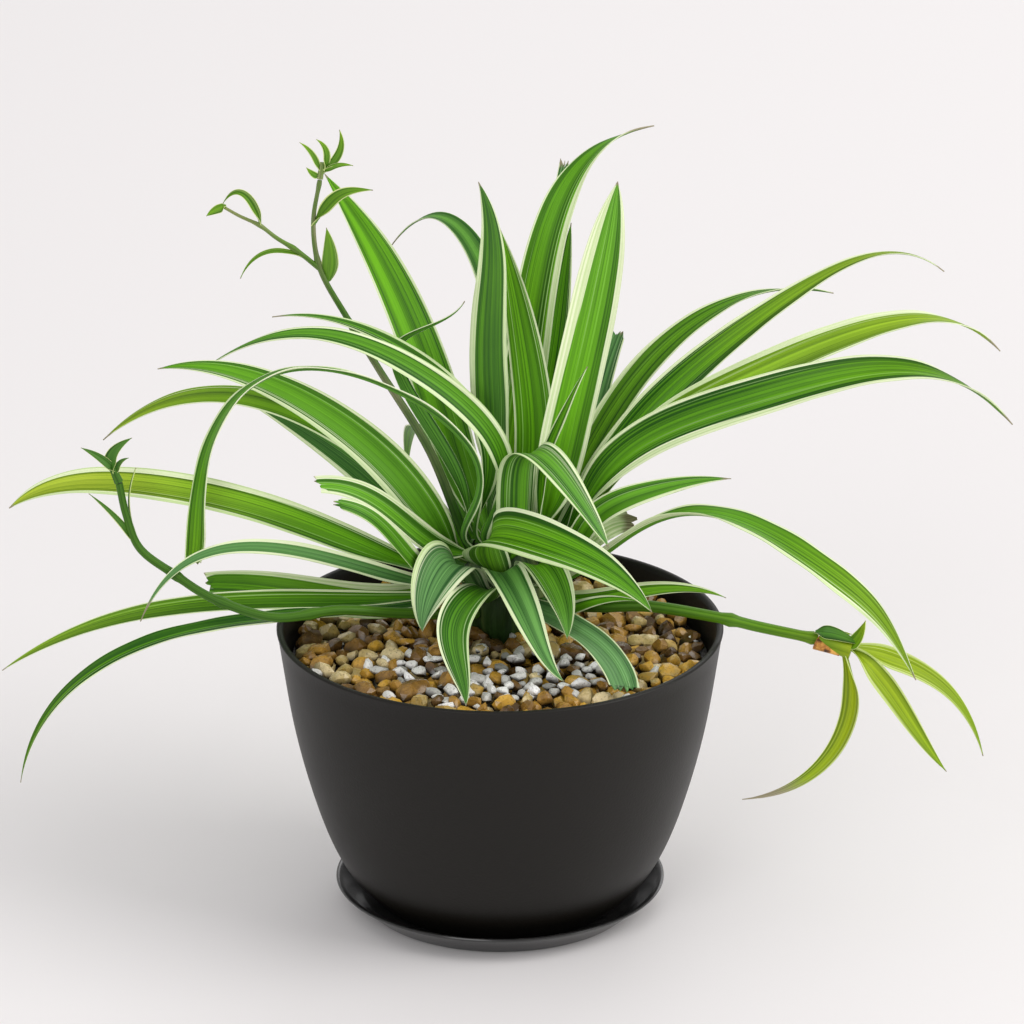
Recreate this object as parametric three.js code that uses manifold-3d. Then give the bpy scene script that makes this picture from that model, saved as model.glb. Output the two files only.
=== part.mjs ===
// Potted spider plant: a rosette of arching striped leaves and three runners
// with plantlets, in a tapered plastic pot that stands in its saucer, with
// pebbles and pale chips on the soil. Millimetres, +Z up. The origin is the
// middle of the saucer's underside; the front of the plant is towards -Y.
import * as THREE from 'three';
import { mergeVertices } from 'three/addons/utils/BufferGeometryUtils.js';
import Module from 'manifold-3d';

const wasm = await Module();
wasm.setup();

// ------------------------------------------------------ driving dimensions
const GAP = 0.3;              // clearance between pieces that touch
const ROUND = 48;             // sides of the pot, its saucer and its soil
const BLADE = 0.8;            // thickness of a leaf

// Saucer: radius and height of its profile, from the middle of the underside.
const SAUCER_FLOOR = 2;
const SAUCER_PROFILE = [
  [0, 0], [39.4, 0], [41, 0.7], [48.4, 6.9], [49.6, 7.8], [49.4, 8.3], [48.5, 8.3],
  [47.2, 7.6], [41.6, 2.9], [39.6, SAUCER_FLOOR], [0, SAUCER_FLOOR],
];

// Pot: its outer face as radius and height, from the foot to the lip.
const POT_FOOT = SAUCER_FLOOR + GAP;
const POT_RIM = 89.3;
const POT_WALL = 2.2;
const POT_FLOOR = 2.6;
const POT_RECESS = { radius: 31, depth: 1.4 };
const POT_OUTER = [
  [36, POT_FOOT], [40, 5.6], [46.8, 13.6], [52.6, 25.5], [58.2, 43], [62.6, 62], [66.6, 87.5],
];
const DRAIN = { count: 6, ring: 21, radius: 4, sides: 12 };

// Soil and top dressing.
const SOIL_TOP = 74;
const BED_TOP = 80;           // bed that the stones are sunk in
const STONES = { count: 84, radius: 6, rise: 0.8 };
const PATCH = { x: -3, y: -22, width: 33, depth: 19, thick: 1.6 };

// Crown: the short stem that the leaves grow from, an oval on a root plug.
const CROWN = { x: 1, y: 20, z: 92, radius: 13, height: 20 };
const PLUG = { radius: 10, bottom: 56 };

// ------------------------------------------------------------ small helpers
const radians = THREE.MathUtils.degToRad;
const vec = (p) => new THREE.Vector3(p[0], p[1], p[2]);

function seeded(seed) {
  let state = seed;
  return () => {
    state = (state + 0x6d2b79f5) | 0;
    let t = Math.imul(state ^ (state >>> 15), 1 | state);
    t = (t + Math.imul(t ^ (t >>> 7), 61 | t)) ^ t;
    return ((t ^ (t >>> 14)) >>> 0) / 4294967296;
  };
}

// Position-only geometry with shared vertices and no collapsed triangles.
function weld(geometry) {
  const bare = new THREE.BufferGeometry();
  bare.setAttribute('position', geometry.getAttribute('position').clone());
  if (geometry.index) bare.setIndex(geometry.index.clone());
  const merged = mergeVertices(bare, 1e-4);
  const index = [];
  for (let i = 0; i < merged.index.count; i += 3) {
    const [a, b, c] = [0, 1, 2].map((k) => merged.index.getX(i + k));
    if (a !== b && b !== c && c !== a) index.push(a, b, c);
  }
  merged.setIndex(index);
  return merged;
}

function solidOf(geometry) {
  const welded = weld(geometry);
  return new wasm.Manifold(new wasm.Mesh({
    numProp: 3,
    vertProperties: new Float32Array(welded.getAttribute('position').array),
    triVerts: new Uint32Array(welded.index.array),
  }));
}

function geometryOf(solid) {
  const mesh = solid.getMesh();
  const geometry = new THREE.BufferGeometry();
  geometry.setAttribute('position', new THREE.BufferAttribute(mesh.vertProperties, 3));
  geometry.setIndex(new THREE.BufferAttribute(mesh.triVerts, 1));
  return geometry;
}

const joined = (solids) => solids.reduce((all, next) => all.add(next));

// The biggest piece of a solid; a loose scrap is dropped.
const largest = (solid) => solid.decompose().sort((a, b) => b.volume() - a.volume())[0];

// A turned piece: the [radius, height] profile runs anticlockwise and is spun
// round the Z axis.
function turned(profile, sides = ROUND) {
  const points = profile.map(([radius, height]) => new THREE.Vector2(radius, height));
  return weld(new THREE.LatheGeometry(points, sides).rotateX(Math.PI / 2));
}

function rod(radius, bottom, top, sides, x = 0, y = 0) {
  const geometry = new THREE.CylinderGeometry(radius, radius, top - bottom, sides);
  return geometry.rotateX(Math.PI / 2).translate(x, y, (top + bottom) / 2);
}

// A closed skin over a row of rings that all have the same number of points.
// `back` lists the sides whose quads are split the other way, so that the two
// faces of a thin blade are split alike. `caps` are the triangles of the ends.
function loft(rings, back, caps) {
  const size = rings[0].length;
  const index = [];
  for (let j = 0; j + 1 < rings.length; j += 1) {
    for (let k = 0; k < size; k += 1) {
      const a = j * size + k;
      const b = j * size + ((k + 1) % size);
      const c = b + size;
      const d = a + size;
      if (back.includes(k)) index.push(a, d, b, b, d, c);
      else index.push(a, d, c, a, c, b);
    }
  }
  const last = (rings.length - 1) * size;
  for (const [a, b, c] of caps) {
    index.push(a, b, c);
    index.push(last + a, last + c, last + b);
  }
  const geometry = new THREE.BufferGeometry();
  const positions = rings.flat().flatMap((p) => [p.x, p.y, p.z]);
  geometry.setAttribute('position', new THREE.Float32BufferAttribute(positions, 3));
  geometry.setIndex(index);
  return geometry;
}

// The polynomial through points at even steps of t, from 0 to 1. With a
// `launch` direction it leaves its first point that way: the added term is
// nought at every point.
function curveThrough(points, launch) {
  const steps = points.length - 1;
  const plain = (t) => {
    const sum = new THREE.Vector3();
    points.forEach((point, i) => {
      let weight = 1;
      points.forEach((other, j) => {
        if (j !== i) weight *= (t * steps - j) / (i - j);
      });
      sum.addScaledVector(point, weight);
    });
    return sum;
  };
  if (!launch) return plain;
  const slope = plain(0.001).sub(plain(-0.001)).multiplyScalar(500);
  const change = launch.clone().multiplyScalar(slope.length()).sub(slope);
  return (t) => {
    let weight = t * (1 - t) ** 2;
    for (let k = 1; k <= steps; k += 1) weight *= 1 - t * steps / k;
    return plain(t).addScaledVector(change, weight);
  };
}

// ------------------------------------------------------------- leaf blades
// A leaf follows the curve through its rib points. It leaves the crown square
// to its skin and level. Past the root it is rolled about the rib by the first
// angle of `turn`, and it twists towards the second one at the tip. The section
// is a shallow V of six points, deepest at the root. The outline widens up to
// `full`, a place along the leaf, and then narrows to the tip: the higher
// `taper` is, the later. A torn or blunt end keeps `tip`, a share of the width.
const ROOT_WIDTH = 0.4;       // width at the root, as a share of the widest
const ROLLED = 0.3;           // place along the leaf where the first roll is done
const WIDEST = 0.4;           // place where a leaf is full width, unless it says
const TAPER = 2.6;            // how late a leaf narrows, unless it says
const FOLD = [38, 8];         // slope of the V's sides at the root and the tip
const TWIST = 3;              // how late the second roll comes, unless a leaf says
const TIP = 0.45;             // least half width, mm
const SEGMENT = 11.5;         // length of a segment, mm
const SEGMENTS = [5, 8, 11];  // least in a young leaf, least in a leaf, and most

function blade({ points, launch, width, turn, tip = 0, full = WIDEST, taper = TAPER, twist = TWIST }) {
  const rib = curveThrough(points, launch);
  const length = points.slice(1).reduce((sum, point, i) => sum + point.distanceTo(points[i]), 0);
  const least = launch ? SEGMENTS[1] : SEGMENTS[0];
  const segments = THREE.MathUtils.clamp(Math.round(length / SEGMENT), least, SEGMENTS[2]);
  const along = points[points.length - 1].clone().sub(points[0]);
  const heading = Math.atan2(along.y, along.x);
  const start = launch ? Math.atan2(launch.y, launch.x) : heading;
  const swing = Math.atan2(Math.sin(start - heading), Math.cos(start - heading));
  const rings = [];
  for (let i = 0; i <= segments; i += 1) {
    const t = i / segments;
    const settled = THREE.MathUtils.smoothstep(t, 0, ROLLED);
    const facing = heading + swing * (1 - settled);
    const level = new THREE.Vector3(-Math.sin(facing), Math.cos(facing), 0);
    const centre = rib(t);
    const tangent = rib(t + 0.01).sub(rib(t - 0.01)).normalize();
    const across = level.addScaledVector(tangent, -level.dot(tangent)).normalize();
    const roll = radians(turn[0] * settled + (turn[1] - turn[0]) * t ** twist);
    across.applyAxisAngle(tangent, roll);
    const up = tangent.clone().cross(across);
    const rise = ROOT_WIDTH + (1 - ROOT_WIDTH) * Math.sin(Math.PI / 2 * Math.min(1, t / full));
    const half = Math.max(TIP, width / 2 * rise * (1 - (1 - tip) * t ** taper));
    const fold = radians(FOLD[0] + (FOLD[1] - FOLD[0]) * Math.sqrt(t));
    const at = (side, face) => centre.clone()
      .addScaledVector(across, side * half * Math.cos(fold))
      .addScaledVector(up, Math.abs(side) * half * Math.sin(fold) + face * BLADE / 2);
    rings.push([at(-1, 1), at(0, 1), at(1, 1), at(1, -1), at(0, -1), at(-1, -1)]);
  }
  return loft(rings, [3, 4], [[0, 1, 4], [0, 4, 5], [1, 2, 3], [1, 3, 4]]);
}

// The place on the crown at [azimuth, elevation], GAP clear of its skin, and
// the direction square to the skin there.
function rootOn([azimuth, elevation]) {
  const away = new THREE.Vector3(
    Math.cos(radians(elevation)) * Math.cos(radians(azimuth)),
    Math.cos(radians(elevation)) * Math.sin(radians(azimuth)),
    Math.sin(radians(elevation)),
  );
  const reach = 1 / Math.hypot(away.x / CROWN.radius, away.y / CROWN.radius, away.z / CROWN.height);
  const point = away.multiplyScalar(reach);
  const flat = CROWN.radius ** 2;
  const launch = vec([point.x / flat, point.y / flat, point.z / CROWN.height ** 2]).normalize();
  point.addScaledVector(launch, GAP).add(vec([CROWN.x, CROWN.y, CROWN.z]));
  return { point, launch };
}

// Each leaf: where on the crown it grows as [azimuth, elevation] in degrees,
// with azimuth 0 to the right and 90 to the back, and then its rib. The points
// of a rib are an even step apart along the leaf.
const LEAVES = [
  // upright leaves
  {
    name: 'upright_front', width: 12.4, turn: [37, 60], taper: 4.5, root: [165, 80],
    rib: [[-2.5, 23.5, 140], [-3.2, 21.5, 168.5], [-2.2, 18, 197], [-6.3, 14, 225.5]],
  },
  {
    name: 'upright_middle', width: 13, turn: [-11, -11], taper: 4, root: [60, 76],
    rib: [[10, 30, 132], [7.5, 36, 165], [0, 38, 202]],
  },
  {
    name: 'tall_right', width: 14, turn: [37, -60], taper: 4.2, twist: 6, root: [100, 66],
    rib: [[4, 38, 129.5], [9.6, 50, 166.5], [19, 62, 203], [46.5, 76, 221]],
  },
  {
    name: 'tall_blunt', width: 9, turn: [30, 30], tip: 0.4, root: [80, 42],
    rib: [[9, 54, 127], [14, 70, 166], [20, 84, 207.5]],
  },
  {
    name: 'tall_dark', width: 10, turn: [20, 20], taper: 4, root: [80, 61],
    rib: [[10.5, 46, 125.5], [16.5, 58, 158], [21.5, 70, 192]],
  },
  {
    name: 'broad_right', width: 15.5, turn: [85, 85], taper: 8, root: [350, 62],
    rib: [[18, 22, 137], [27, 24, 179], [35, 24, 222]],
  },
  {
    name: 'behind_broad', width: 10, turn: [50, 50], tip: 0.5, root: [56, 61],
    rib: [[22, 44.5, 127.6], [29.5, 54, 145], [36, 60, 161.5]],
  },
  {
    name: 'small_front', width: 5.5, turn: [60, 60], root: [320, 57],
    rib: [[13.2, 14.2, 131.5], [18.2, 10, 151], [26, 6, 170]],
  },
  {
    name: 'back_left', width: 14, turn: [-40, -40], taper: 5, root: [140, 66],
    rib: [[-12, 32, 127.5], [-22, 42, 157], [-35, 58, 183], [-53, 72, 207]],
  },
  {
    name: 'back_hook', width: 10, turn: [-20, -20], taper: 3.5, root: [110, 50],
    rib: [[-1, 46, 122], [1, 62, 151], [-9, 80, 182], [-33, 94, 176]],
  },
  {
    name: 'curl_back', width: 5, turn: [-40, -40], root: [180, 66],
    rib: [[-12, 20, 126.6], [-22, 22, 146], [-31, 23.5, 164], [-26, 23, 174.5], [-10.5, 22, 184.8]],
  },
  // leaves to the left
  {
    name: 'left_arch', width: 9, turn: [-60, 0], root: [224, 67],
    rib: [[0, 11, 139], [-24, 8, 167.5], [-56, 12, 178.2], [-88, 18, 165]],
  },
  {
    name: 'left_pale', width: 6.5, turn: [-60, -30], root: [200, 66],
    rib: [[-4, 17, 141], [-29, 20, 170.5], [-68, 24, 179]],
  },
  {
    name: 'left_hook', width: 7.5, turn: [20, -100], taper: 9, tip: 0.7, full: 0.85, twist: 6,
    root: [200, 58],
    rib: [[-7, 0, 140], [-33, -2, 166], [-67, -4, 171], [-87, -6, 146], [-92, -6, 111.5]],
  },
  {
    name: 'left_bright', width: 14.5, turn: [-70, -50], root: [190, 42],
    rib: [[-29, 14, 130], [-62, 14, 158], [-102, 12, 167]],
  },
  {
    name: 'left_far', width: 7.5, turn: [-70, -30], taper: 4.5, root: [172, 40],
    rib: [[-25, 22, 122], [-54, 28, 143.5], [-88, 32, 151], [-119.5, 34, 135.6]],
  },
  {
    name: 'left_dark', width: 13, turn: [-60, -60], taper: 2.4, root: [158, 22],
    rib: [[-31, 34, 115.5], [-54, 43, 132], [-83, 50, 146]],
  },
  {
    name: 'left_blunt', width: 8.4, turn: [-65, -65], tip: 0.6, root: [211, 53],
    rib: [[-21.5, 7.5, 113.3], [-36, 1, 128.5], [-55.5, -6, 137]],
  },
  {
    name: 'left_short', width: 8, turn: [-60, -60], tip: 0.4, root: [218, 27],
    rib: [[-24, -2, 108.5], [-34, -14, 126], [-49.5, -20, 137]],
  },
  {
    name: 'left_long', width: 10, turn: [-65, -40], taper: 8, root: [200, 24],
    rib: [[-38, 8, 110], [-66.3, 6, 123], [-94, 4.5, 131.2], [-121, 3, 134.6], [-146.5, 2, 126.3]],
  },
  {
    name: 'left_low', width: 6.5, turn: [-50, -30], root: [208, 16],
    rib: [[-42, -2, 109], [-79, -12, 119.3], [-107, -18, 98]],
  },
  {
    name: 'left_stub', width: 12, turn: [-60, -60], tip: 0.6, root: [188, 6],
    rib: [[-36, 13, 91.5], [-63, 14, 94.7], [-89, 14, 96.7]],
  },
  {
    name: 'left_reach', width: 6.5, turn: [-60, -40], taper: 4, root: [205, 6],
    rib: [[-57, 4, 96], [-104, -2, 95], [-149, -8, 78]],
  },
  {
    name: 'left_sweep', width: 7, turn: [-10, -75], root: [216, 7],
    rib: [[-47, -4, 94.5], [-87, -14, 94.5], [-123, -24, 83.5], [-143, -30, 51]],
  },
  // leaves to the front
  {
    name: 'front_fold', width: 18.5, turn: [-20, 0], full: 0.5, taper: 3.5, root: [241, 18],
    rib: [[-12.5, -0.5, 108.3], [-17, -7, 110.3], [-21, -14, 105], [-23, -21, 96]],
  },
  {
    name: 'front_centre', width: 14.5, turn: [0, 0], taper: 2.3, root: [282, 17],
    rib: [[0.6, -4, 107.6], [4.7, -16, 106], [11, -28, 96], [19, -38, 87]],
  },
  {
    name: 'front_dark', width: 12, turn: [0, 0], taper: 4, root: [250, 8],
    rib: [[-4, -6, 103], [-12, -24, 103], [-13, -40, 96], [-10, -54, 86]],
  },
  {
    name: 'front_small', width: 14.5, turn: [0, 0], taper: 3, root: [300, 34],
    rib: [[11.4, 2, 107.7], [17.2, -10, 104], [20, -22, 94]],
  },
  {
    name: 'front_torn', width: 12.5, turn: [0, 0], tip: 0.7, root: [300, 4],
    rib: [[13, -4, 94], [27, -20, 92.5], [37, -46, 87]],
  },
  {
    name: 'front_over', width: 15, turn: [0, 0], full: 0.34, taper: 4, root: [280, 56],
    rib: [[6, 9, 121.5], [8, 3, 142.5], [19, -12, 141], [32, -30, 127]],
  },
  {
    name: 'front_big', width: 20, turn: [24, 14], taper: 3.2, root: [264, 41],
    rib: [[-3, -1, 117.5], [9, -10, 120.8], [28, -18, 116], [45, -30, 106]],
  },
  // leaves to the right
  {
    name: 'right_low', width: 7, turn: [60, 60], root: [354, 4],
    rib: [[24, 15, 91], [45, 17, 94], [68, 15, 92]],
  },
  {
    name: 'right_near', width: 5, turn: [60, 60], root: [312, 4],
    rib: [[18, 2, 93], [28, -4, 98.5], [42, -8, 100.3]],
  },
  {
    name: 'right_drop', width: 11.5, turn: [-10, 85], taper: 5, root: [318, 22],
    rib: [[36, -6, 118], [60.3, -17, 131.8], [84.8, -28, 126.2], [105, -37, 114.7], [123, -44, 90]],
  },
  {
    name: 'right_short', width: 9.5, turn: [60, 60], root: [343, 20],
    rib: [[27, 6, 119.5], [46, 5, 131], [69, 4, 135]],
  },
  {
    name: 'right_wide', width: 13.5, turn: [70, -70], taper: 4.2, twist: 5, root: [344, 44],
    rib: [[36, 13, 138], [73, 4, 160], [114, -2, 172], [152, -8, 157]],
  },
  {
    name: 'right_olive', width: 10.5, turn: [70, -60], taper: 5, twist: 5, root: [356, 33],
    rib: [[37.3, 20, 134.5], [64.2, 24, 155], [92, 27, 167.5], [121, 30, 175.5], [150, 32, 165]],
  },
  {
    name: 'right_high', width: 13.2, turn: [65, -20], taper: 1.9, root: [18, 38],
    rib: [[30, 27, 126.6], [50, 33, 151], [72.2, 39, 168.7], [100, 46, 185.5], [133.7, 52, 183]],
  },
  {
    name: 'right_narrow', width: 9.5, turn: [60, -60], taper: 3.5, root: [41, 45],
    rib: [[23, 34.5, 124], [41, 48, 150.3], [68, 59, 169.5], [101, 68, 170]],
  },
  {
    name: 'dry_sheath', width: 10, turn: [60, 60], tip: 0.5, root: [20, 12],
    rib: [[25.5, 20, 107], [33, 21, 113], [41, 18, 115]],
  },
  // leaves to the back
  {
    name: 'back_1', width: 11, turn: [0, 0], root: [122, 32],
    rib: [[-13, 50, 115], [-24, 90, 118], [-29, 126, 87]],
  },
  {
    name: 'back_2', width: 10, turn: [0, 0], root: [138, 18],
    rib: [[-21, 44, 109], [-40, 78, 114], [-51, 104, 101]],
  },
  {
    name: 'back_3', width: 12, turn: [0, 0], root: [95, 30],
    rib: [[2, 54, 112], [0, 92, 120], [-2, 132, 94]],
  },
  {
    name: 'back_4', width: 11, turn: [0, 0], root: [66, 28],
    rib: [[16, 50, 114], [25, 86, 118], [32, 120, 98]],
  },
  {
    name: 'back_5', width: 10, turn: [0, 0], root: [42, 30],
    rib: [[22, 40, 118], [42, 70, 117], [61, 98, 113]],
  },
  {
    name: 'back_6', width: 9, turn: [0, 0], root: [106, 12],
    rib: [[-5, 44, 97.5], [-10, 75, 98], [-14, 105, 80]],
  },
  {
    name: 'back_7', width: 9, turn: [0, 0], root: [58, 10],
    rib: [[13, 42, 101], [25, 74, 98], [34, 100, 78]],
  },
];

// ------------------------------------------------------ runners, plantlets
// A round stem along a smooth curve, narrowing from the first radius to the
// second.
function stem(points, radii, steps, sides = 6) {
  const curve = new THREE.CatmullRomCurve3(points);
  const frames = curve.computeFrenetFrames(steps);
  const rings = [];
  for (let i = 0; i <= steps; i += 1) {
    const centre = curve.getPointAt(i / steps);
    const radius = radii[0] + (radii[1] - radii[0]) * i / steps;
    const ring = [];
    for (let k = 0; k < sides; k += 1) {
      const angle = -2 * Math.PI * k / sides;
      ring.push(centre.clone()
        .addScaledVector(frames.normals[i], radius * Math.cos(angle))
        .addScaledVector(frames.binormals[i], radius * Math.sin(angle)));
    }
    rings.push(ring);
  }
  const caps = [];
  for (let k = 1; k + 1 < sides; k += 1) caps.push([0, k, k + 1]);
  return loft(rings, [], caps);
}

function youngLeaves(list) {
  return list.map(({ rib, ...leaf }) => solidOf(blade({ ...leaf, points: rib.map(vec) })));
}

const RUNNER_TOP = {
  root: [160, 56],
  stem: [[-21, 26, 135], [-36, 36, 157], [-46, 42, 172], [-54, 46, 186], [-56, 48, 200], [-54, 50, 213]],
  branch: [[-54, 46, 186], [-61, 46, 192], [-67, 46, 196], [-72, 46, 200], [-78, 46, 203], [-83, 46, 206]],
  leaves: [
    { width: 6, turn: [0, 0], rib: [[-52, 46, 182], [-51, 45, 190], [-52, 44, 200]] },
    { width: 4.6, turn: [70, 40], rib: [[-56, 48, 199], [-51, 46, 207], [-46, 45, 211], [-38, 44, 212]] },
    { width: 3, turn: [-70, -70], rib: [[-72, 46, 200], [-74, 45, 207], [-78, 45, 211], [-83, 46, 207]] },
    { width: 3.2, turn: [-70, -70], rib: [[-82, 46, 206], [-85, 46, 205], [-88, 46, 203]] },
    { width: 1.8, turn: [-70, -70], rib: [[-58, 46, 189], [-66, 46, 192], [-73, 46, 190], [-78, 46, 183]] },
  ],
};

const PLANTLET_TOP = {
  knob: [[-54, 50, 213.5], [-53.2, 50.3, 218.5]],
  leaves: [
    { width: 3, turn: [75, 75], rib: [[-53, 50, 216], [-48, 50, 222], [-48, 50, 229]] },
    { width: 2.6, turn: [-75, -75], rib: [[-53, 50, 216], [-52, 50, 222], [-55, 50, 226]] },
    { width: 2.2, turn: [-75, -75], rib: [[-54, 50, 215], [-56, 50, 221], [-60, 50, 225]] },
    { width: 2, turn: [75, 75], rib: [[-53, 50, 215], [-49, 49, 218], [-44, 49, 218]] },
    { width: 2.4, turn: [-75, -75], rib: [[-54, 50, 214], [-56, 50, 215], [-58, 50, 217]] },
  ],
};

const RUNNER_LEFT = {
  root: [229, -9],
  stem: [
    [-30, -3, 94.5], [-48, -12, 99.2], [-67, -16, 98.5], [-85, -15, 104],
    [-97, -13.5, 111.4], [-107, -13, 119.4], [-111, -12.5, 130], [-113, -12, 140],
  ],
  leaves: [
    { width: 2.4, turn: [-70, -70], rib: [[-107, -12, 118], [-113, -13, 128], [-122, -13, 137]] },
    {
      width: 2, turn: [70, 70],
      rib: [[-107, -12, 118], [-110, -11, 129], [-110, -10, 137], [-108, -10, 144]],
    },
  ],
};

const PLANTLET_LEFT = {
  knob: [[-113.1, -12, 140.4], [-115, -12, 145]],
  leaves: [
    { width: 3, turn: [-70, -70], rib: [[-114, -12, 143], [-118, -13, 148], [-124, -14, 152]] },
    { width: 4.4, turn: [70, 70], rib: [[-114, -12, 143], [-115, -12, 149], [-109, -11, 154]] },
    { width: 2, turn: [70, 70], rib: [[-113.5, -12, 142], [-113, -12, 146], [-110, -12, 148]] },
  ],
};

const RUNNER_RIGHT = {
  root: [330, -4],
  stem: [[30, 1, 95], [45, -5, 97.5], [66, -8, 95], [78, -8, 92], [95, -10, 89]],
  leaves: [],
};

const PLANTLET_RIGHT = {
  knob: [[95.5, -10, 88.9], [105, -12, 86.5]],
  leaves: [
    {
      width: 7.6, turn: [-30, -60],
      rib: [[103, -12, 87], [105.5, -16, 75], [103.5, -19, 64], [94.5, -21, 51], [72.5, -22, 42]],
    },
    {
      width: 7.4, turn: [60, 60],
      rib: [[104, -12, 87], [114.5, -16, 77.5], [123.5, -20, 65], [133.5, -23, 51.5]],
    },
    {
      width: 8.5, turn: [50, 50], full: 0.25, taper: 1.6,
      rib: [[104, -12, 87], [120.3, -10, 81], [135, -10, 71], [145, -10, 51]],
    },
    { width: 5, turn: [70, 70], rib: [[104, -12, 87], [107, -14, 91], [109, -15, 97]] },
    { width: 3, turn: [70, 70], rib: [[96, -10, 89], [100, -11, 91], [105, -11, 91]] },
  ],
};

function runner({ root, stem: path, branch, leaves }, radii, steps) {
  const { point, launch } = rootOn(root);
  const points = [point, point.clone().addScaledVector(launch, 3), ...path.map(vec)];
  const pieces = [solidOf(stem(points, radii, steps))];
  if (branch) pieces.push(solidOf(stem(branch.map(vec), [0.8, 0.45], 6)));
  return geometryOf(joined([...pieces, ...youngLeaves(leaves)]));
}

function plantlet({ knob, leaves }, radii) {
  const core = solidOf(stem(knob.map(vec), radii, 2, 8));
  return geometryOf(joined([core, ...youngLeaves(leaves)]));
}

// ----------------------------------------------------------- pot and saucer
// Radius of the pot's outer face at a height, straight between its points.
function potRadius(height) {
  const i = POT_OUTER.findIndex(([, z]) => z >= height);
  if (i <= 0) return i === 0 ? POT_OUTER[0][0] : POT_OUTER[POT_OUTER.length - 1][0];
  const [[r0, z0], [r1, z1]] = [POT_OUTER[i - 1], POT_OUTER[i]];
  return r0 + (r1 - r0) * (height - z0) / (z1 - z0);
}

// The pot's inside as a [radius, height] list from `bottom` up to `top`, kept
// `clear` of the wall.
function insideOfPot(bottom, top, clear) {
  const heights = [bottom, ...POT_OUTER.map(([, z]) => z).filter((z) => z > bottom + 1 && z < top - 1), top];
  return heights.map((z) => [potRadius(z) - POT_WALL - clear, z]);
}

function potGeometry() {
  const floor = POT_FOOT + POT_RECESS.depth + POT_FLOOR;
  const lip = [[67, POT_RIM - 0.7], [66.5, POT_RIM], [65.3, POT_RIM], [64.6, POT_RIM - 0.7]];
  const inner = insideOfPot(floor, POT_RIM - 2, 0).reverse();
  const profile = [
    [0, POT_FOOT + POT_RECESS.depth], [POT_RECESS.radius, POT_FOOT + POT_RECESS.depth],
    [POT_RECESS.radius + 1, POT_FOOT], ...POT_OUTER, ...lip, ...inner, [0, floor],
  ];
  let pot = solidOf(turned(profile));
  for (let i = 0; i < DRAIN.count; i += 1) {
    const angle = 2 * Math.PI * i / DRAIN.count;
    const [x, y] = [DRAIN.ring * Math.cos(angle), DRAIN.ring * Math.sin(angle)];
    pot = pot.subtract(solidOf(rod(DRAIN.radius, 0, floor + 2, DRAIN.sides, x, y)));
  }
  return geometryOf(pot);
}

// ------------------------------------------------- soil, crown, top dressing
function crownGeometry() {
  const bulb = new THREE.SphereGeometry(1, 20, 12).rotateX(Math.PI / 2);
  bulb.scale(CROWN.radius, CROWN.radius, CROWN.height).translate(CROWN.x, CROWN.y, CROWN.z);
  const plug = rod(PLUG.radius, PLUG.bottom, CROWN.z, 20, CROWN.x, CROWN.y);
  return geometryOf(solidOf(bulb).add(solidOf(plug)));
}

// Plain hole for the crown, GAP wider than it all round.
function crownHole() {
  const bulb = new THREE.SphereGeometry(1, 20, 12).rotateX(Math.PI / 2);
  bulb.scale(CROWN.radius + GAP, CROWN.radius + GAP, CROWN.height + GAP);
  bulb.translate(CROWN.x, CROWN.y, CROWN.z);
  const plug = rod(PLUG.radius + GAP, PLUG.bottom - GAP, CROWN.z, 20, CROWN.x, CROWN.y);
  return solidOf(bulb).add(solidOf(plug));
}

function soilGeometry() {
  const bottom = POT_FOOT + POT_RECESS.depth + POT_FLOOR + GAP;
  const side = insideOfPot(bottom, SOIL_TOP, GAP);
  const soil = solidOf(turned([[0, bottom], ...side, [0, SOIL_TOP]]));
  return geometryOf(soil.subtract(crownHole()));
}

// A stone: a twelve-cornered ball with uneven corners, flattened and turned.
function stone(random, radius, x, y, z) {
  const geometry = weld(new THREE.IcosahedronGeometry(1, 0));
  const corners = geometry.getAttribute('position');
  for (let i = 0; i < corners.count; i += 1) {
    const stretch = 0.88 + 0.24 * random();
    corners.setXYZ(i, corners.getX(i) * stretch, corners.getY(i) * stretch, corners.getZ(i) * stretch);
  }
  geometry.rotateX(2 * Math.PI * random()).rotateY(2 * Math.PI * random());
  geometry.scale(radius * (0.95 + 0.3 * random()), radius * (0.75 + 0.3 * random()), radius * 0.7);
  geometry.rotateZ(2 * Math.PI * random()).translate(x, y, z);
  return solidOf(geometry);
}

// The outline of the pale patch: an uneven oval, grown outwards by `grow`.
function patchPrism(grow, bottom, top) {
  const shape = new THREE.Shape();
  const corners = 24;
  for (let i = 0; i < corners; i += 1) {
    const angle = 2 * Math.PI * i / corners;
    const uneven = 1 + 0.1 * Math.sin(3 * angle + 1) + 0.06 * Math.sin(7 * angle);
    const x = PATCH.x + (PATCH.width * uneven + grow) * Math.cos(angle);
    const y = PATCH.y + (PATCH.depth * uneven + grow) * Math.sin(angle);
    if (i === 0) shape.moveTo(x, y);
    else shape.lineTo(x, y);
  }
  const prism = new THREE.ExtrudeGeometry(shape, { depth: top - bottom, bevelEnabled: false });
  return solidOf(prism.translate(0, 0, bottom));
}

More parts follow.
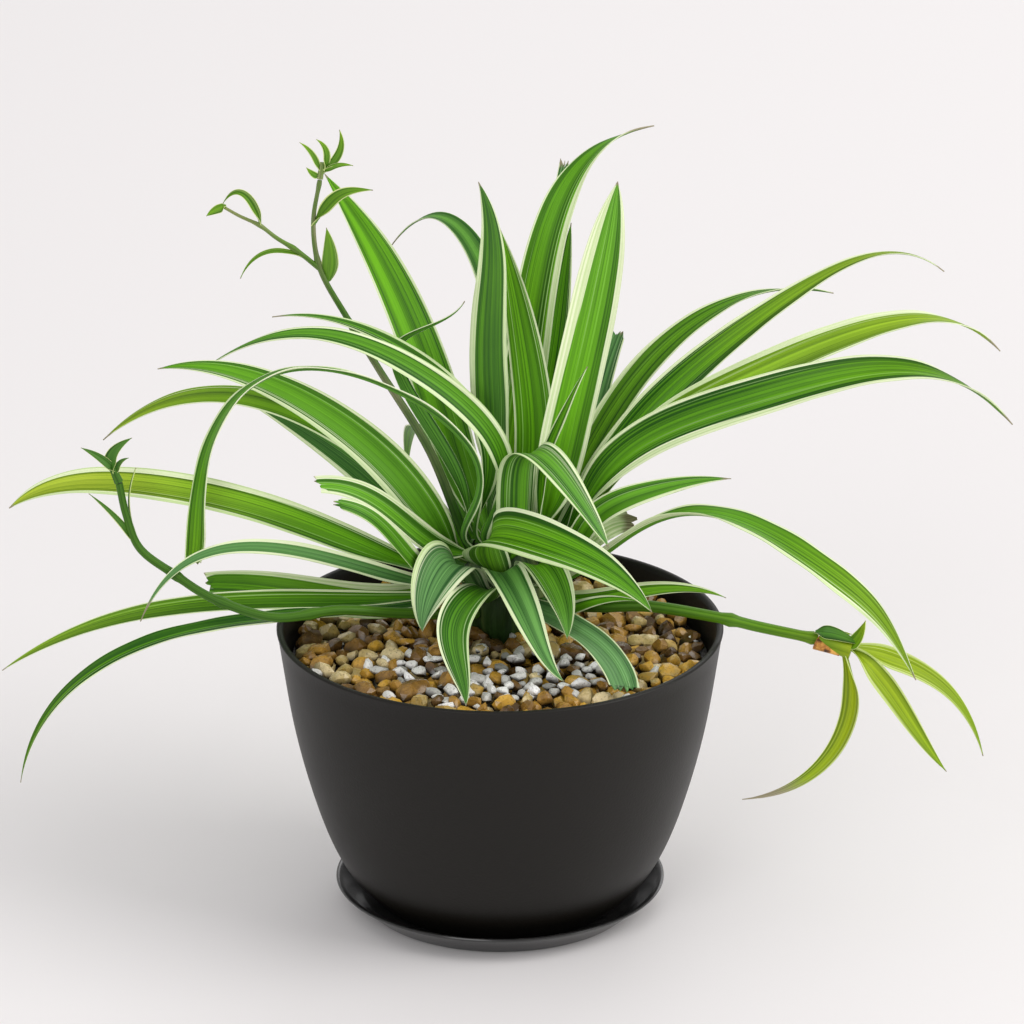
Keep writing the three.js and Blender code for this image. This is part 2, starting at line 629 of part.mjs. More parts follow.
// Both colours of stone: an even spiral of stones over the whole bed, and the
// patch cut out of it for the pale ones.
function gravelGeometries() {
  const random = seeded(7);
  const low = SOIL_TOP + GAP;
  const side = insideOfPot(low, BED_TOP, GAP);
  const edge = side[side.length - 1][0];
  const stones = [];
  for (let i = 0; i < STONES.count; i += 1) {
    const ring = (edge - STONES.radius) * Math.sqrt((i + 0.5) / STONES.count);
    const angle = i * Math.PI * (3 - Math.sqrt(5));
    const [x, y] = [ring * Math.cos(angle), ring * Math.sin(angle)];
    if (Math.hypot(x - CROWN.x, y - CROWN.y) < CROWN.radius + 2) continue;
    stones.push(stone(random, STONES.radius, x, y, BED_TOP + STONES.rise * random()));
  }
  const bed = solidOf(turned([[0, low], ...side, [0, BED_TOP]]));
  const inside = solidOf(turned([[0, low - 5], ...insideOfPot(low - 5, POT_RIM - 3, GAP), [0, POT_RIM - 3]]));
  const all = joined([bed, ...stones]).intersect(inside).subtract(crownHole());
  const patchBottom = BED_TOP - PATCH.thick;
  return {
    brown: geometryOf(largest(all.subtract(patchPrism(GAP, patchBottom - GAP, POT_RIM)))),
    white: geometryOf(largest(all.intersect(patchPrism(0, patchBottom, POT_RIM)))),
  };
}

// ---------------------------------------------------------------- the plant
const plastic = new THREE.MeshStandardMaterial({ color: 0x2c2a28, roughness: 0.62, metalness: 0 });
const gloss = new THREE.MeshStandardMaterial({ color: 0x161616, roughness: 0.25, metalness: 0 });
const earth = new THREE.MeshStandardMaterial({ color: 0x2b1d12, roughness: 0.95, metalness: 0 });
const brownStone = new THREE.MeshStandardMaterial({ color: 0x9a6f3a, roughness: 0.6, metalness: 0 });
const whiteStone = new THREE.MeshStandardMaterial({ color: 0xd8d4c8, roughness: 0.6, metalness: 0 });
const green = new THREE.MeshStandardMaterial({ color: 0x4f8a2c, roughness: 0.5, metalness: 0 });
const darkGreen = new THREE.MeshStandardMaterial({ color: 0x3d5a22, roughness: 0.5, metalness: 0 });
const youngGreen = new THREE.MeshStandardMaterial({ color: 0x9bb81e, roughness: 0.5, metalness: 0 });
const sheath = new THREE.MeshStandardMaterial({ color: 0x35491f, roughness: 0.6, metalness: 0 });

const plant = new THREE.Group();

function place(name, geometry, material) {
  const mesh = new THREE.Mesh(geometry, material);
  mesh.name = name;
  plant.add(mesh);
}

place('saucer', turned(SAUCER_PROFILE), gloss);
place('pot', potGeometry(), plastic);
place('soil', soilGeometry(), earth);
const gravel = gravelGeometries();
place('gravel_brown', gravel.brown, brownStone);
place('gravel_white', gravel.white, whiteStone);
place('crown', crownGeometry(), sheath);

for (const { name, root, rib, ...leaf } of LEAVES) {
  const { point, launch } = rootOn(root);
  place(`leaf_${name}`, blade({ ...leaf, launch, points: [point, ...rib.map(vec)] }), green);
}

place('runner_top', runner(RUNNER_TOP, [1.6, 0.6], 14), darkGreen);
place('runner_left', runner(RUNNER_LEFT, [1.8, 1.1], 18), darkGreen);
place('runner_right', runner(RUNNER_RIGHT, [1.9, 1.6], 12), darkGreen);
place('plantlet_top', plantlet(PLANTLET_TOP, [1, 0.7]), youngGreen);
place('plantlet_left', plantlet(PLANTLET_LEFT, [1.4, 1]), darkGreen);
place('plantlet_right', plantlet(PLANTLET_RIGHT, [2.6, 3]), youngGreen);

export default plant;
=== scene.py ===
"""A potted spider plant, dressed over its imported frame. +Z up, front towards -Y.

The plant is sized in millimetres, which MM makes metres. Camera, lamps and floor
are placed in metres. In order: view and light, saucer, pot, soil, stones, crown,
leaves, runners and plantlets.
"""

import bmesh
import bpy
import numpy as np
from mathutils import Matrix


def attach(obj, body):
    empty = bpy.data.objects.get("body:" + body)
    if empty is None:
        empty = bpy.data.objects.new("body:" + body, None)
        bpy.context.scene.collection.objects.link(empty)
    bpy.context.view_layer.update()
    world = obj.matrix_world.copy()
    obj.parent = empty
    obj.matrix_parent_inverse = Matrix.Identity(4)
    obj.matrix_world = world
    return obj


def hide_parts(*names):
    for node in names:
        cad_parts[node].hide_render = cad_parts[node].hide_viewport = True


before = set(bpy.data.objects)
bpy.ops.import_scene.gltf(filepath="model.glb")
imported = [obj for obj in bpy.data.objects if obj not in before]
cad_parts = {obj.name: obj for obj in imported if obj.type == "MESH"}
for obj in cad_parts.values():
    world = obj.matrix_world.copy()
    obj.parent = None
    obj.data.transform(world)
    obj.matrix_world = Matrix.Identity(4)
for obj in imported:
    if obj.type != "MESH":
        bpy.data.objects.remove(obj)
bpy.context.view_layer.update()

# ------------------------------------------------------------------ view and light
# The plant stands on a plain pale floor that runs out of sight behind it. The
# camera is far off with a long lens, a little above the leaves. The light is a
# bright room with one large soft lamp on the right, so the shadow falls left.
MM = 0.001
LOOK_AT = np.array([3.6, 0.0, 125.9]) * MM
CAMERA_AWAY = 3.0
CAMERA_RISE = np.radians(21.9)
LENS = 353.5
SENSOR = 36
ROOM_COLOR = (1, 0.985, 0.99, 1)
ROOM_STRENGTH = 0.68
FLOOR_COLOR = (0.83, 0.81, 0.81, 1)
FLOOR_ROUGHNESS = 0.9
FLOOR_CORNERS = [(-9, -9, 0), (9, -9, 0), (9, 14, 0), (-9, 14, 0)]


def new_object(name, data):
    """An object in the scene."""
    made = bpy.data.objects.new(name, data)
    bpy.context.scene.collection.objects.link(made)
    return made


camera_data = bpy.data.cameras.new("camera")
camera_data.lens = LENS
camera_data.sensor_width = SENSOR
camera_data.clip_end = 50
camera = new_object("camera", camera_data)
camera.location = LOOK_AT + CAMERA_AWAY * np.array([0, -np.cos(CAMERA_RISE), np.sin(CAMERA_RISE)])
camera.rotation_euler = (np.pi / 2 - CAMERA_RISE, 0, 0)
bpy.context.scene.camera = camera


def lamp(name, place, size, watts, color):
    """A square area lamp at `place`, turned to face the middle of the plant."""
    data = bpy.data.lights.new(name, "AREA")
    data.size = size
    data.energy = watts
    data.color = color
    light = new_object(name, data)
    light.location = place
    aim = new_object(name + "_aim", None)
    aim.location = LOOK_AT
    face = light.constraints.new("TRACK_TO")
    face.target = aim
    face.track_axis = "TRACK_NEGATIVE_Z"
    face.up_axis = "UP_Y"


lamp("lamp_right", (1.8, -0.5, 1.4), size=1.6, watts=28, color=(1, 0.985, 0.97))
lamp("lamp_front", (-0.7, -1.7, 1.1), size=1.0, watts=10, color=(1, 1, 1))
lamp("lamp_back", (0.4, 1.5, 1.2), size=1.0, watts=5, color=(1, 1, 1))

room = bpy.data.worlds.new("room")
room.use_nodes = True
room.node_tree.nodes["Background"].inputs["Color"].default_value = ROOM_COLOR
room.node_tree.nodes["Background"].inputs["Strength"].default_value = ROOM_STRENGTH
bpy.context.scene.world = room
bpy.context.scene.view_settings.view_transform = "Standard"


def connect(tree, made, sockets):
    """Sets a node's sockets to values, or links them."""
    for key, value in sockets.items():
        if isinstance(value, bpy.types.NodeSocket):
            tree.links.new(value, made.inputs[key])
        else:
            made.inputs[key].default_value = value


def node(tree, kind, sockets=None, **settings):
    """A shader node with its settings and its sockets."""
    made = tree.nodes.new("ShaderNode" + kind)
    for key, value in settings.items():
        setattr(made, key, value)
    connect(tree, made, sockets or {})
    return made


def new_material(name):
    """A material with an empty tree, and its Principled shader and output."""
    material = bpy.data.materials.new(name)
    material.use_nodes = True
    tree = material.node_tree
    tree.nodes.clear()
    shader = node(tree, "BsdfPrincipled")
    node(tree, "OutputMaterial", {"Surface": shader.outputs["BSDF"]})
    return material, tree, shader


floor_material, tree, shader = new_material("floor_paint")
connect(tree, shader, {"Base Color": FLOOR_COLOR, "Roughness": FLOOR_ROUGHNESS})
floor_mesh = bpy.data.meshes.new("floor")
floor_mesh.from_pydata(FLOOR_CORNERS, [], [(0, 1, 2, 3)])
floor_mesh.materials.append(floor_material)
floor = new_object("floor", floor_mesh)

# -------------------------------------------------------------------------- saucer
# A shallow round dish moulded in gloss black plastic, with a thin turned-out
# lip. The pot's foot stands on its floor.
SAUCER_PROFILE = [
    (39.4, 0.0), (40.4, 0.25), (41.2, 0.9), (44.6, 3.8), (48.2, 6.7), (49.3, 7.4), (49.6, 7.9),
    (49.45, 8.25), (49.0, 8.35), (48.4, 8.2), (47.2, 7.5), (44.2, 5.0), (41.8, 3.0), (40.9, 2.3),
    (39.6, 2.0), (20.0, 2.0),
]
GRAIN_DEPTH = 0.2


def skin(rings, uv=None):
    """A closed skin over rings[row, point] that each close on themselves.

    Each row is joined to the next by quads, and each end is closed by triangles
    to the middle of its ring. Returns points, faces and uv.
    """
    rows, count, _ = rings.shape
    index = np.arange(rows * count).reshape(rows, count)
    after = np.roll(index, -1, axis=1)
    quads = np.stack([index[:-1], after[:-1], after[1:], index[1:]], -1).reshape(-1, 4)
    low, high = rows * count, rows * count + 1
    bottom = np.stack([after[0], index[0], np.full(count, low)], -1)
    top = np.stack([index[-1], after[-1], np.full(count, high)], -1)
    points = np.concatenate([rings.reshape(-1, 3), rings[[0, -1]].mean(axis=1)])
    flat = np.zeros((rows, count, 2)) if uv is None else uv
    flat = np.concatenate([flat.reshape(-1, 2), flat[[0, -1]].mean(axis=1)])
    return points, quads.tolist() + bottom.tolist() + top.tolist(), flat


def around(sides):
    """Even angles round a circle."""
    return np.linspace(0, 2 * np.pi, sides, endpoint=False)


def turned(profile, sides=144):
    """A (radius, height) profile in mm spun round the Z axis."""
    profile = np.array(profile) * MM
    angle = around(sides)
    radius, height = profile[:, :1], profile[:, 1:]
    rings = [radius * np.cos(angle), radius * np.sin(angle), height + 0 * angle]
    return skin(np.stack(rings, -1))


def joined(parts):
    """Parts of (points, faces, uv) in one set of points and faces, each still apart."""
    points, faces, uvs = zip(*parts)
    starts = np.cumsum([0, *map(len, points)]).tolist()
    moved = [[corner + start for corner in face] for start, part in zip(starts, faces) for face in part]
    return np.concatenate(points), moved, np.concatenate(uvs)


def show(name, parts, material, slot, replaced=None, crease=50, **marks):
    """One piece from a list of (points, faces, uv) parts that are kept apart.

    Edges sharper than `crease` degrees stay sharp. `marks` are values per point,
    such as a tone, that its material reads.
    """
    points, faces, uv = joined(parts)
    mesh = bpy.data.meshes.new(name)
    mesh.from_pydata(points, [], faces)
    corner_points = np.empty(len(mesh.loops), int)
    mesh.loops.foreach_get("vertex_index", corner_points)
    flat = mesh.uv_layers.new(name="blade")
    flat.uv.foreach_set("vector", uv[corner_points].astype(np.float32).ravel())
    for key, values in marks.items():
        values = np.concatenate(values).astype(np.float32)
        mesh.attributes.new(key, "FLOAT", "POINT").data.foreach_set("value", values)
    mesh.shade_smooth()
    mesh.set_sharp_from_angle(angle=np.radians(crease))
    mesh.materials.append(material)
    piece = new_object(name, mesh)
    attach(piece, "root")
    if replaced:
        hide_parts(replaced)
    return piece


def maths(tree, operation, *values, **settings):
    """The result of a Math node on its values."""
    return node(tree, "Math", dict(enumerate(values)), operation=operation, **settings).outputs[0]


def mixed(tree, factor, first, second):
    """The first colour, or as much of the second as the factor says."""
    return node(tree, "Mix", {"Factor": factor, 6: first, 7: second}, data_type="RGBA").outputs[2]


def spread(tree, value, low, high, to_low=0, to_high=1, **settings):
    """A value between low and high, laid out between to_low and to_high."""
    sockets = {"Value": value, "From Min": low, "From Max": high, "To Min": to_low, "To Max": to_high}
    return node(tree, "MapRange", sockets, **settings).outputs[0]


def noise(tree, place, scale, detail, roughness=0.5):
    """A cloudy noise from 0 to 1."""
    sockets = {"Vector": place, "Scale": scale, "Detail": detail, "Roughness": roughness}
    return node(tree, "TexNoise", sockets).outputs["Fac"]


def dress(tree, shader, color, roughness, height, strength, depth):
    """Gives a shader its colour, its roughness and a bump up to `depth` deep."""
    bump = node(tree, "Bump", {"Strength": strength, "Distance": depth, "Height": height})
    connect(tree, shader, {"Base Color": color, "Roughness": roughness, "Normal": bump.outputs["Normal"]})


def new_group(name, inputs, outputs):
    """A node group with named values in and out: its tree, the sockets that give
    the values that go in, and its output node."""
    tree = bpy.data.node_groups.new(name, "ShaderNodeTree")
    for key, value in inputs.items():
        socket = tree.interface.new_socket(key, in_out="INPUT", socket_type="NodeSocketFloat")
        socket.default_value = value
    for key in outputs:
        tree.interface.new_socket(key, in_out="OUTPUT", socket_type="NodeSocketFloat")
    return tree, tree.nodes.new("NodeGroupInput").outputs, tree.nodes.new("NodeGroupOutput")


def moulded_skin_group():
    """Group: what a moulded plastic skin has all over. A fine cloudy mottle in
    the roughness, a faint dust on faces that look up, and a pebbled grain."""
    tree, given, out = new_group(
        "moulded_skin", {"Roughness": 0.4, "Mottle": 0.1, "Dust": 0.1, "Grain Size": 900},
        ("Rough", "Dusty", "Grain"))
    place = node(tree, "TexCoord").outputs["Object"]
    swing = maths(tree, "SUBTRACT", noise(tree, place, 45, 6, 0.65), 0.5)
    rough = maths(tree, "MULTIPLY_ADD", swing, given["Mottle"], given["Roughness"])
    up = node(tree, "SeparateXYZ", {0: node(tree, "NewGeometry").outputs["Normal"]}).outputs["Z"]
    facing = spread(tree, up, 0.2, 1.0, interpolation_type="SMOOTHSTEP")
    patch = spread(tree, noise(tree, place, 160, 8, 0.75), 0.42, 0.72)
    dusty = maths(tree, "MULTIPLY", maths(tree, "MULTIPLY", facing, patch), given["Dust"])
    grain = noise(tree, place, given["Grain Size"], 2)
    connect(tree, out, {"Rough": rough, "Dusty": dusty, "Grain": grain})
    return tree


moulded_skin = moulded_skin_group()


def plastic(name, color, dust_color, settings, grain):
    """Black moulded plastic: the group's roughness, dust and grain over one colour."""
    material, tree, shader = new_material(name)
    surface = node(tree, "Group", settings, node_tree=moulded_skin).outputs
    tint = mixed(tree, surface["Dusty"], color, dust_color)
    dress(tree, shader, tint, surface["Rough"], surface["Grain"], grain, GRAIN_DEPTH * MM)
    return material


saucer_gloss = plastic(
    "saucer_gloss", (0.012, 0.012, 0.012, 1), (0.09, 0.085, 0.08, 1),
    {"Roughness": 0.2, "Mottle": 0.12, "Dust": 0.25, "Grain Size": 500}, grain=0.05)
show("saucer_dish", [turned(SAUCER_PROFILE)], saucer_gloss, "saucer", "saucer")

# ----------------------------------------------------------------------------- pot
# A tapered round pot moulded in charcoal plastic with a satin skin: thin wall,
# rounded lip, raised floor with six drain holes. It stands in the saucer.
POT_UNDERSIDE = [(12, 3.7), (31, 3.7), (31.6, 3.4), (32, 2.6), (32.5, 2.3)]
POT_OUTER = [
    (36, 2.3), (40, 5.6), (46.8, 13.6), (52.6, 25.5), (58.2, 43), (62.6, 62), (66.6, 87.5),
]
POT_LIP = [
    (66.9, 88.3), (67.0, 88.8), (66.8, 89.15), (66.4, 89.3), (65.9, 89.3), (65.4, 89.15), (65.0, 88.8),
    (64.6, 87.6),
]
POT_WALL = 2.2
POT_FLOOR = 6.3
POT_CORNER = 0.8
POT_INSIDE = [(38.4, 6.5), (36.5, POT_FLOOR), (12, POT_FLOOR)]
DRAINS = 6
DRAIN_RING = 21
DRAIN_RADIUS = 4
DRILL_LENGTH = 9


def eased(points, steps=8):
    """Catmull-Rom curve through points, in equal steps between each two."""
    points = np.array(points, float)
    ends = [2 * points[:1] - points[1:2], points, 2 * points[-1:] - points[-2:-1]]
    p = np.concatenate(ends)
    t = (np.arange(steps) / steps)[None, :, None]
    a, b, c, d = p[:-3, None], p[1:-2, None], p[2:-1, None], p[3:, None]
    span = b + 0.5 * t * (c - a + t * (2 * a - 5 * b + 4 * c - d + t * (3 * (b - c) + d - a)))
    return np.concatenate([span.reshape(-1, points.shape[1]), points[-1:]])


outer = eased(POT_OUTER)
inner = outer[::-1][2:] - [POT_WALL, 0]
inner = inner[inner[:, 1] > POT_FLOOR + POT_CORNER]
pot_profile = np.concatenate([POT_UNDERSIDE, outer, POT_LIP, inner, POT_INSIDE])
pot_satin = plastic(
    "pot_satin", (0.006, 0.005, 0.0035, 1), (0.035, 0.031, 0.025, 1),
    {"Roughness": 0.46, "Mottle": 0.1, "Dust": 0.1, "Grain Size": 1400}, grain=0.25)
pot_satin.node_tree.nodes["Principled BSDF"].inputs["Specular IOR Level"].default_value = 0.27
pot = show("pot_body", [turned(pot_profile, 180)], pot_satin, "pot", "pot", crease=40)

# The drain holes are bored through the floor, and the drill is then put away.
drill_edge = around(32)
drills = []
for turn in around(DRAINS):
    x = DRAIN_RING * np.cos(turn) + DRAIN_RADIUS * np.cos(drill_edge)
    y = DRAIN_RING * np.sin(turn) + DRAIN_RADIUS * np.sin(drill_edge)
    drills.append(skin(np.stack([np.stack([x, y, 0 * x + z], -1) for z in (0, DRILL_LENGTH)]) * MM))
drill_points, drill_faces, _ = joined(drills)
drill_mesh = bpy.data.meshes.new("drills")
drill_mesh.from_pydata(drill_points, [], drill_faces)
drill = new_object("drills", drill_mesh)
cut = pot.modifiers.new("drain_holes", "BOOLEAN")
cut.object = drill
cut.operation = "DIFFERENCE"
cut.solver = "EXACT"
bpy.context.view_layer.update()
bored = bpy.data.meshes.new_from_object(pot.evaluated_get(bpy.context.evaluated_depsgraph_get()))
pot.modifiers.clear()
pot.data = bored
bpy.data.objects.remove(drill)

# ---------------------------------------------------------------------------- soil
# Dark potting mix that fills the pot under the stones. It keeps its own solid,
# which nothing shows of, so it only takes a crumbly brown finish.
SOIL_COLORS = [(0.35, (0.012, 0.007, 0.004)), (0.7, (0.07, 0.04, 0.02))]
SOIL_ROUGHNESS = 0.95
CRUMB_DEPTH = 1.0


def ramp(tree, factor, colors, blend="LINEAR"):
    """A colour ramp through (position, colour) stops."""
    made = node(tree, "ValToRGB", {"Fac": factor})
    made.color_ramp.interpolation = blend
    while len(made.color_ramp.elements) < len(colors):
        made.color_ramp.elements.new(0.5)
    for element, (position, color) in zip(made.color_ramp.elements, colors):
        element.position = position
        element.color = (*color, 1)
    return made.outputs["Color"]


soil_mix, tree, shader = new_material("potting_mix")
crumbs = noise(tree, node(tree, "TexCoord").outputs["Object"], 400, 8, 0.7)
dress(tree, shader, ramp(tree, crumbs, SOIL_COLORS), SOIL_ROUGHNESS, crumbs, 0.8, CRUMB_DEPTH * MM)
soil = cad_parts["soil"]
soil.data.materials.clear()
soil.data.materials.append(soil_mix)

# -------------------------------------------------------------------------- stones
# Top dressing: rounded tan, ochre and brown pebbles over the whole pot, with a
# patch of smaller white and grey chips at the front. They lie loose on the
# soil, a little below the lip.
BED_EDGE = 62.6
BED_PROFILE = [(6, 78.6), (58, 78.6), (BED_EDGE, 78.3), (BED_EDGE, 75), (6, 75)]
CROWN_X = 1.0
CROWN_Y = 20.0
CROWN_HOLE = 11.0
PATCH = {"x": -3, "y": -22, "width": 33, "depth": 19}
CHIPS_END = 10
DENT = 0.06
DENT_WAVE = 1.7
LONG = (0.9, 1.35)
WIDE = (0.7, 1.05)
SQUASH = (0.85, 1.15)
TIPPED = 0.3
# Painted shade: the low part of each stone is darkened towards near black, for the shade in the crevices
# between stones.
CREVICE_SHADE_LEVEL = 0.24
CREVICE_SHADE_FADE = 0.4
CREVICE_SHADE_COLOR = (0.014, 0.009, 0.004, 1)
FLECK = (0.05, 0.025, 0.01, 1)
PEBBLE_COLORS = [
    (0.0, (0.08, 0.04, 0.01)), (0.15, (0.2, 0.105, 0.024)), (0.4, (0.44, 0.24, 0.04)),
    (0.62, (0.64, 0.37, 0.045)), (0.8, (0.48, 0.36, 0.13)), (1.0, (0.8, 0.66, 0.36)),
]
CHIP_COLORS = [
    (0.0, (0.3, 0.3, 0.27)), (0.2, (0.62, 0.62, 0.58)), (0.5, (0.9, 0.9, 0.86)), (1.0, (0.97, 0.97, 0.96)),
]
draw = np.random.default_rng(11)


def in_patch(x, y):
    """How far out in the chips' uneven oval a place is: 0 in its middle, 1 at its edge."""
    angle = np.arctan2(y - PATCH["y"], x - PATCH["x"])
    uneven = 1 + 0.1 * np.sin(3 * angle + 1) + 0.06 * np.sin(7 * angle)
    return np.hypot((x - PATCH["x"]) / PATCH["width"], (y - PATCH["y"]) / PATCH["depth"]) / uneven


def clear_of_crown(x, y, radius):
    """Whether a stone lies outside the crown's hole, but for half its radius."""
    return np.hypot(x - CROWN_X, y - CROWN_Y) > CROWN_HOLE + 0.5 * radius


def pebble_place(x, y, radius):
    """Outside the patch, with a ragged edge."""
    return clear_of_crown(x, y, radius) and in_patch(x, y) > 0.92 + 0.3 * draw.random()


def lone_pebble_place(x, y, radius):
    """Inside the patch."""
    return clear_of_crown(x, y, radius) and in_patch(x, y) < 0.95


def chip_place(x, y, radius):
    """Inside the patch, with a ragged edge."""
    return clear_of_crown(x, y, radius) and in_patch(x, y) < 0.72 + 0.45 * draw.random()


def lone_chip_place(x, y, radius):
    """Anywhere but at the back."""
    return clear_of_crown(x, y, radius) and y < CHIPS_END


def scatter(keep, tries, radii, closeness):
    """Places with radii, thrown one by one and kept where they overlap few others."""
    spots = np.zeros((0, 3))
    for _ in range(tries):
        radius = draw.uniform(*radii)
        far = (BED_EDGE - radius) * np.sqrt(draw.random())
        turn = 2 * np.pi * draw.random()
        x, y = far * np.cos(turn), far * np.sin(turn)
        if not keep(x, y, radius):
            continue
        room = np.hypot(spots[:, 0] - x, spots[:, 1] - y) - closeness * (spots[:, 2] + radius)
        if len(spots) == 0 or room.min() > 0:
            spots = np.vstack([spots, (x, y, radius)])
    return spots


def ball():
    """The 42 corners and 80 faces of an icosahedron split once."""
    work = bmesh.new()
    bmesh.ops.create_icosphere(work, subdivisions=2, radius=1)
    mesh = bpy.data.meshes.new("ball")
    work.to_mesh(mesh)
    work.free()
    corners = np.empty(3 * len(mesh.vertices))
    mesh.vertices.foreach_get("co", corners)
    faces = np.empty(len(mesh.loops), int)
    mesh.loops.foreach_get("vertex_index", faces)
    bpy.data.meshes.remove(mesh)
    return corners.reshape(-1, 3), faces.reshape(-1, 3)


BALL, BALL_FACES = ball()


def turn_pair(first, second, angle):
    """Two coordinates turned by an angle for each stone."""
    c, s = np.cos(angle)[:, None], np.sin(angle)[:, None]
    return c * first - s * second, s * first + c * second


def stones(spots, height, flat, cuts, depth):
    """Stones at spots: balls with soft dents, cut flat by random planes at a
    random `depth` from their middles, squashed and turned. Returns one part, each
    point's stone number and its painted crevice shade: 1 low down, 0 on top."""
    count = len(spots)
    body = np.repeat(BALL[None], count, 0)
    wave = draw.normal(size=(count, 3, 3)) * DENT_WAVE
    for k in range(3):
        body *= 1 + DENT * np.sin(np.einsum("pk,nk->np", BALL, wave[:, k]) + k)[..., None]
    for _ in range(cuts):
        plane = draw.normal(size=(count, 1, 3))
        plane /= np.linalg.norm(plane, axis=-1, keepdims=True)
        over = (body * plane).sum(-1, keepdims=True) - draw.uniform(*depth, (count, 1, 1))
        body -= np.maximum(over, 0) * plane
    least, most = np.array([LONG, WIDE, np.multiply(SQUASH, flat)]).T
    body *= draw.uniform(least, most, (count, 3))[:, None]
    turn, tip = draw.uniform(0, 2 * np.pi, count), draw.normal(0, TIPPED, count)
    x, z = turn_pair(body[..., 0], body[..., 2], -tip)
    x, y = turn_pair(x, body[..., 1], turn)
    points = np.stack([x, y, z], -1) * spots[:, None, 2:]
    points += np.stack([spots[:, 0], spots[:, 1], height], -1)[:, None]
    faces = BALL_FACES + (np.arange(count) * len(BALL))[:, None, None]
    points = points.reshape(-1, 3) * MM
    number = np.repeat(np.arange(count), len(BALL))
    # Painted crevice shade: 1 low on the stone, fading to 0 higher up.
    grime = np.clip((CREVICE_SHADE_LEVEL - z / flat) / CREVICE_SHADE_FADE, 0, 1).ravel()
    return (points, faces.reshape(-1, 3).tolist(), np.zeros((len(points), 2))), number, grime


under = scatter(clear_of_crown, tries=3000, radii=(3.4, 4.6), closeness=0.72)
over = scatter(pebble_place, tries=9000, radii=(2.4, 4.6), closeness=0.76)
lone = scatter(lone_pebble_place, tries=500, radii=(2.2, 3.6), closeness=1.5)
heights = [draw.uniform(low, high, len(spots)) for spots, low, high in (
    (under, 78.2, 79.6), (over, 80.8, 82.4), (lone, 81.4, 82.6))]
pebbles, pebble_number, pebble_grime = stones(
    np.concatenate([under, over, lone]), np.concatenate(heights), flat=0.8, cuts=9, depth=(0.58, 0.85))
chip_spots = np.concatenate([
    scatter(chip_place, tries=6000, radii=(1.8, 3.4), closeness=0.78),
    scatter(lone_chip_place, tries=260, radii=(1.8, 3.2), closeness=3.4)])
chip_height = draw.uniform(81.6, 83.2, len(chip_spots))
chips, chip_number, chip_grime = stones(chip_spots, chip_height, flat=0.7, cuts=11, depth=(0.5, 0.74))
pebble_tone = draw.random(pebble_number[-1] + 1)[pebble_number]
chip_tone = draw.random(chip_number[-1] + 1)[chip_number]
bed = turned(BED_PROFILE, 96)


def worn_stone_group():
    """Group: what every stone has. A cloud through it, the shift of tone that the
    cloud makes, dark flecks, and a roughness that changes over it."""
    tree, given, out = new_group(
        "worn_stone", {"Roughness": 0.3, "Vein": 0.2}, ("Cloud", "Shift", "Fleck", "Rough"))
    place = node(tree, "TexCoord").outputs["Object"]
    cloud = noise(tree, place, 260, 5, 0.6)
    least = maths(tree, "MULTIPLY", given["Vein"], -1)
    smooth = maths(tree, "SUBTRACT", given["Roughness"], 0.15)
    coarse = maths(tree, "ADD", given["Roughness"], 0.2)
    connect(tree, out, {
        "Cloud": cloud,
        "Shift": spread(tree, cloud, 0, 1, least, given["Vein"]),
        "Fleck": spread(tree, noise(tree, place, 1500, 3), 0.55, 0.7, 0, 0.5),
        "Rough": spread(tree, cloud, 0, 1, smooth, coarse),
    })
    return tree


worn_stone = worn_stone_group()


def stone_material(name, colors, settings):
    """Worn stone: the group's clouds and flecks over one of the colours for each
    stone, with painted shade low down for the crevices between stones."""
    material, tree, shader = new_material(name)
    tone, grime = (node(tree, "Attribute", attribute_name=key).outputs["Fac"] for key in ("tone", "grime"))
    surface = node(tree, "Group", settings, node_tree=worn_stone).outputs
    color = ramp(tree, maths(tree, "ADD", tone, surface["Shift"]), colors, "EASE")
    color = mixed(tree, grime, mixed(tree, surface["Fleck"], color, FLECK), CREVICE_SHADE_COLOR)
    dress(tree, shader, color, surface["Rough"], surface["Cloud"], 0.4, 0.4 * MM)
    return material


pebble_stone = stone_material("pebble_stone", PEBBLE_COLORS, {"Roughness": 0.22, "Vein": 0.24})
chip_stone = stone_material("chip_stone", CHIP_COLORS, {"Roughness": 0.34, "Vein": 0.12})
# The bed beneath the stones is painted wholly in the crevice shade colour, a painted shadow in the gaps
# between stones.
show("pebbles", [pebbles, bed], pebble_stone, "gravel_brown", "gravel_brown", crease=19,
     tone=[pebble_tone, np.zeros(len(bed[0]))], grime=[pebble_grime, np.ones(len(bed[0]))])
show("pale_chips", [chips], chip_stone, "gravel_white", "gravel_white", crease=14,
     tone=[chip_tone], grime=[chip_grime])

# --------------------------------------------------------------------------- crown
# The short thick stem in the middle, wrapped in overlapping green leaf bases,
# that every leaf and runner grows from. Its root plug runs down into the soil.
CROWN_MIDDLE = np.array([CROWN_X, CROWN_Y, 92.0])
CROWN_RADIUS = 13.0
CROWN_HEIGHT = 20.0
PLUG_RADIUS = 10.0
PLUG_BOTTOM = 56.0
RIDGES = 13
RIDGE_FOOT = 0.93
RIDGE_RISE = 0.075
RIDGE_LEAN = 0.25
STREAKS = {  # each with its stretch across, along and deep, its detail, and the levels it is cut at
    "Bands": ((3.2, 0.22, 1), 2, 0.33, 0.67),
    "Veins": ((15, 0.35, 1), 3, 0.32, 0.68),
    "Lines": ((22, 0.4, 1), 1, 0.55, 0.68),
    "Mottle": ((1.2, 2.6, 1), 4, 0.3, 0.7),
}
# Painted shade: the leaf bases' green is darkened to stand for the shade deep under the leaves.
CROWN_SHADED_GREENS = [(0.0, (0.012, 0.035, 0.006)), (0.6, (0.03, 0.08, 0.012)), (1.0, (0.14, 0.2, 0.05))]


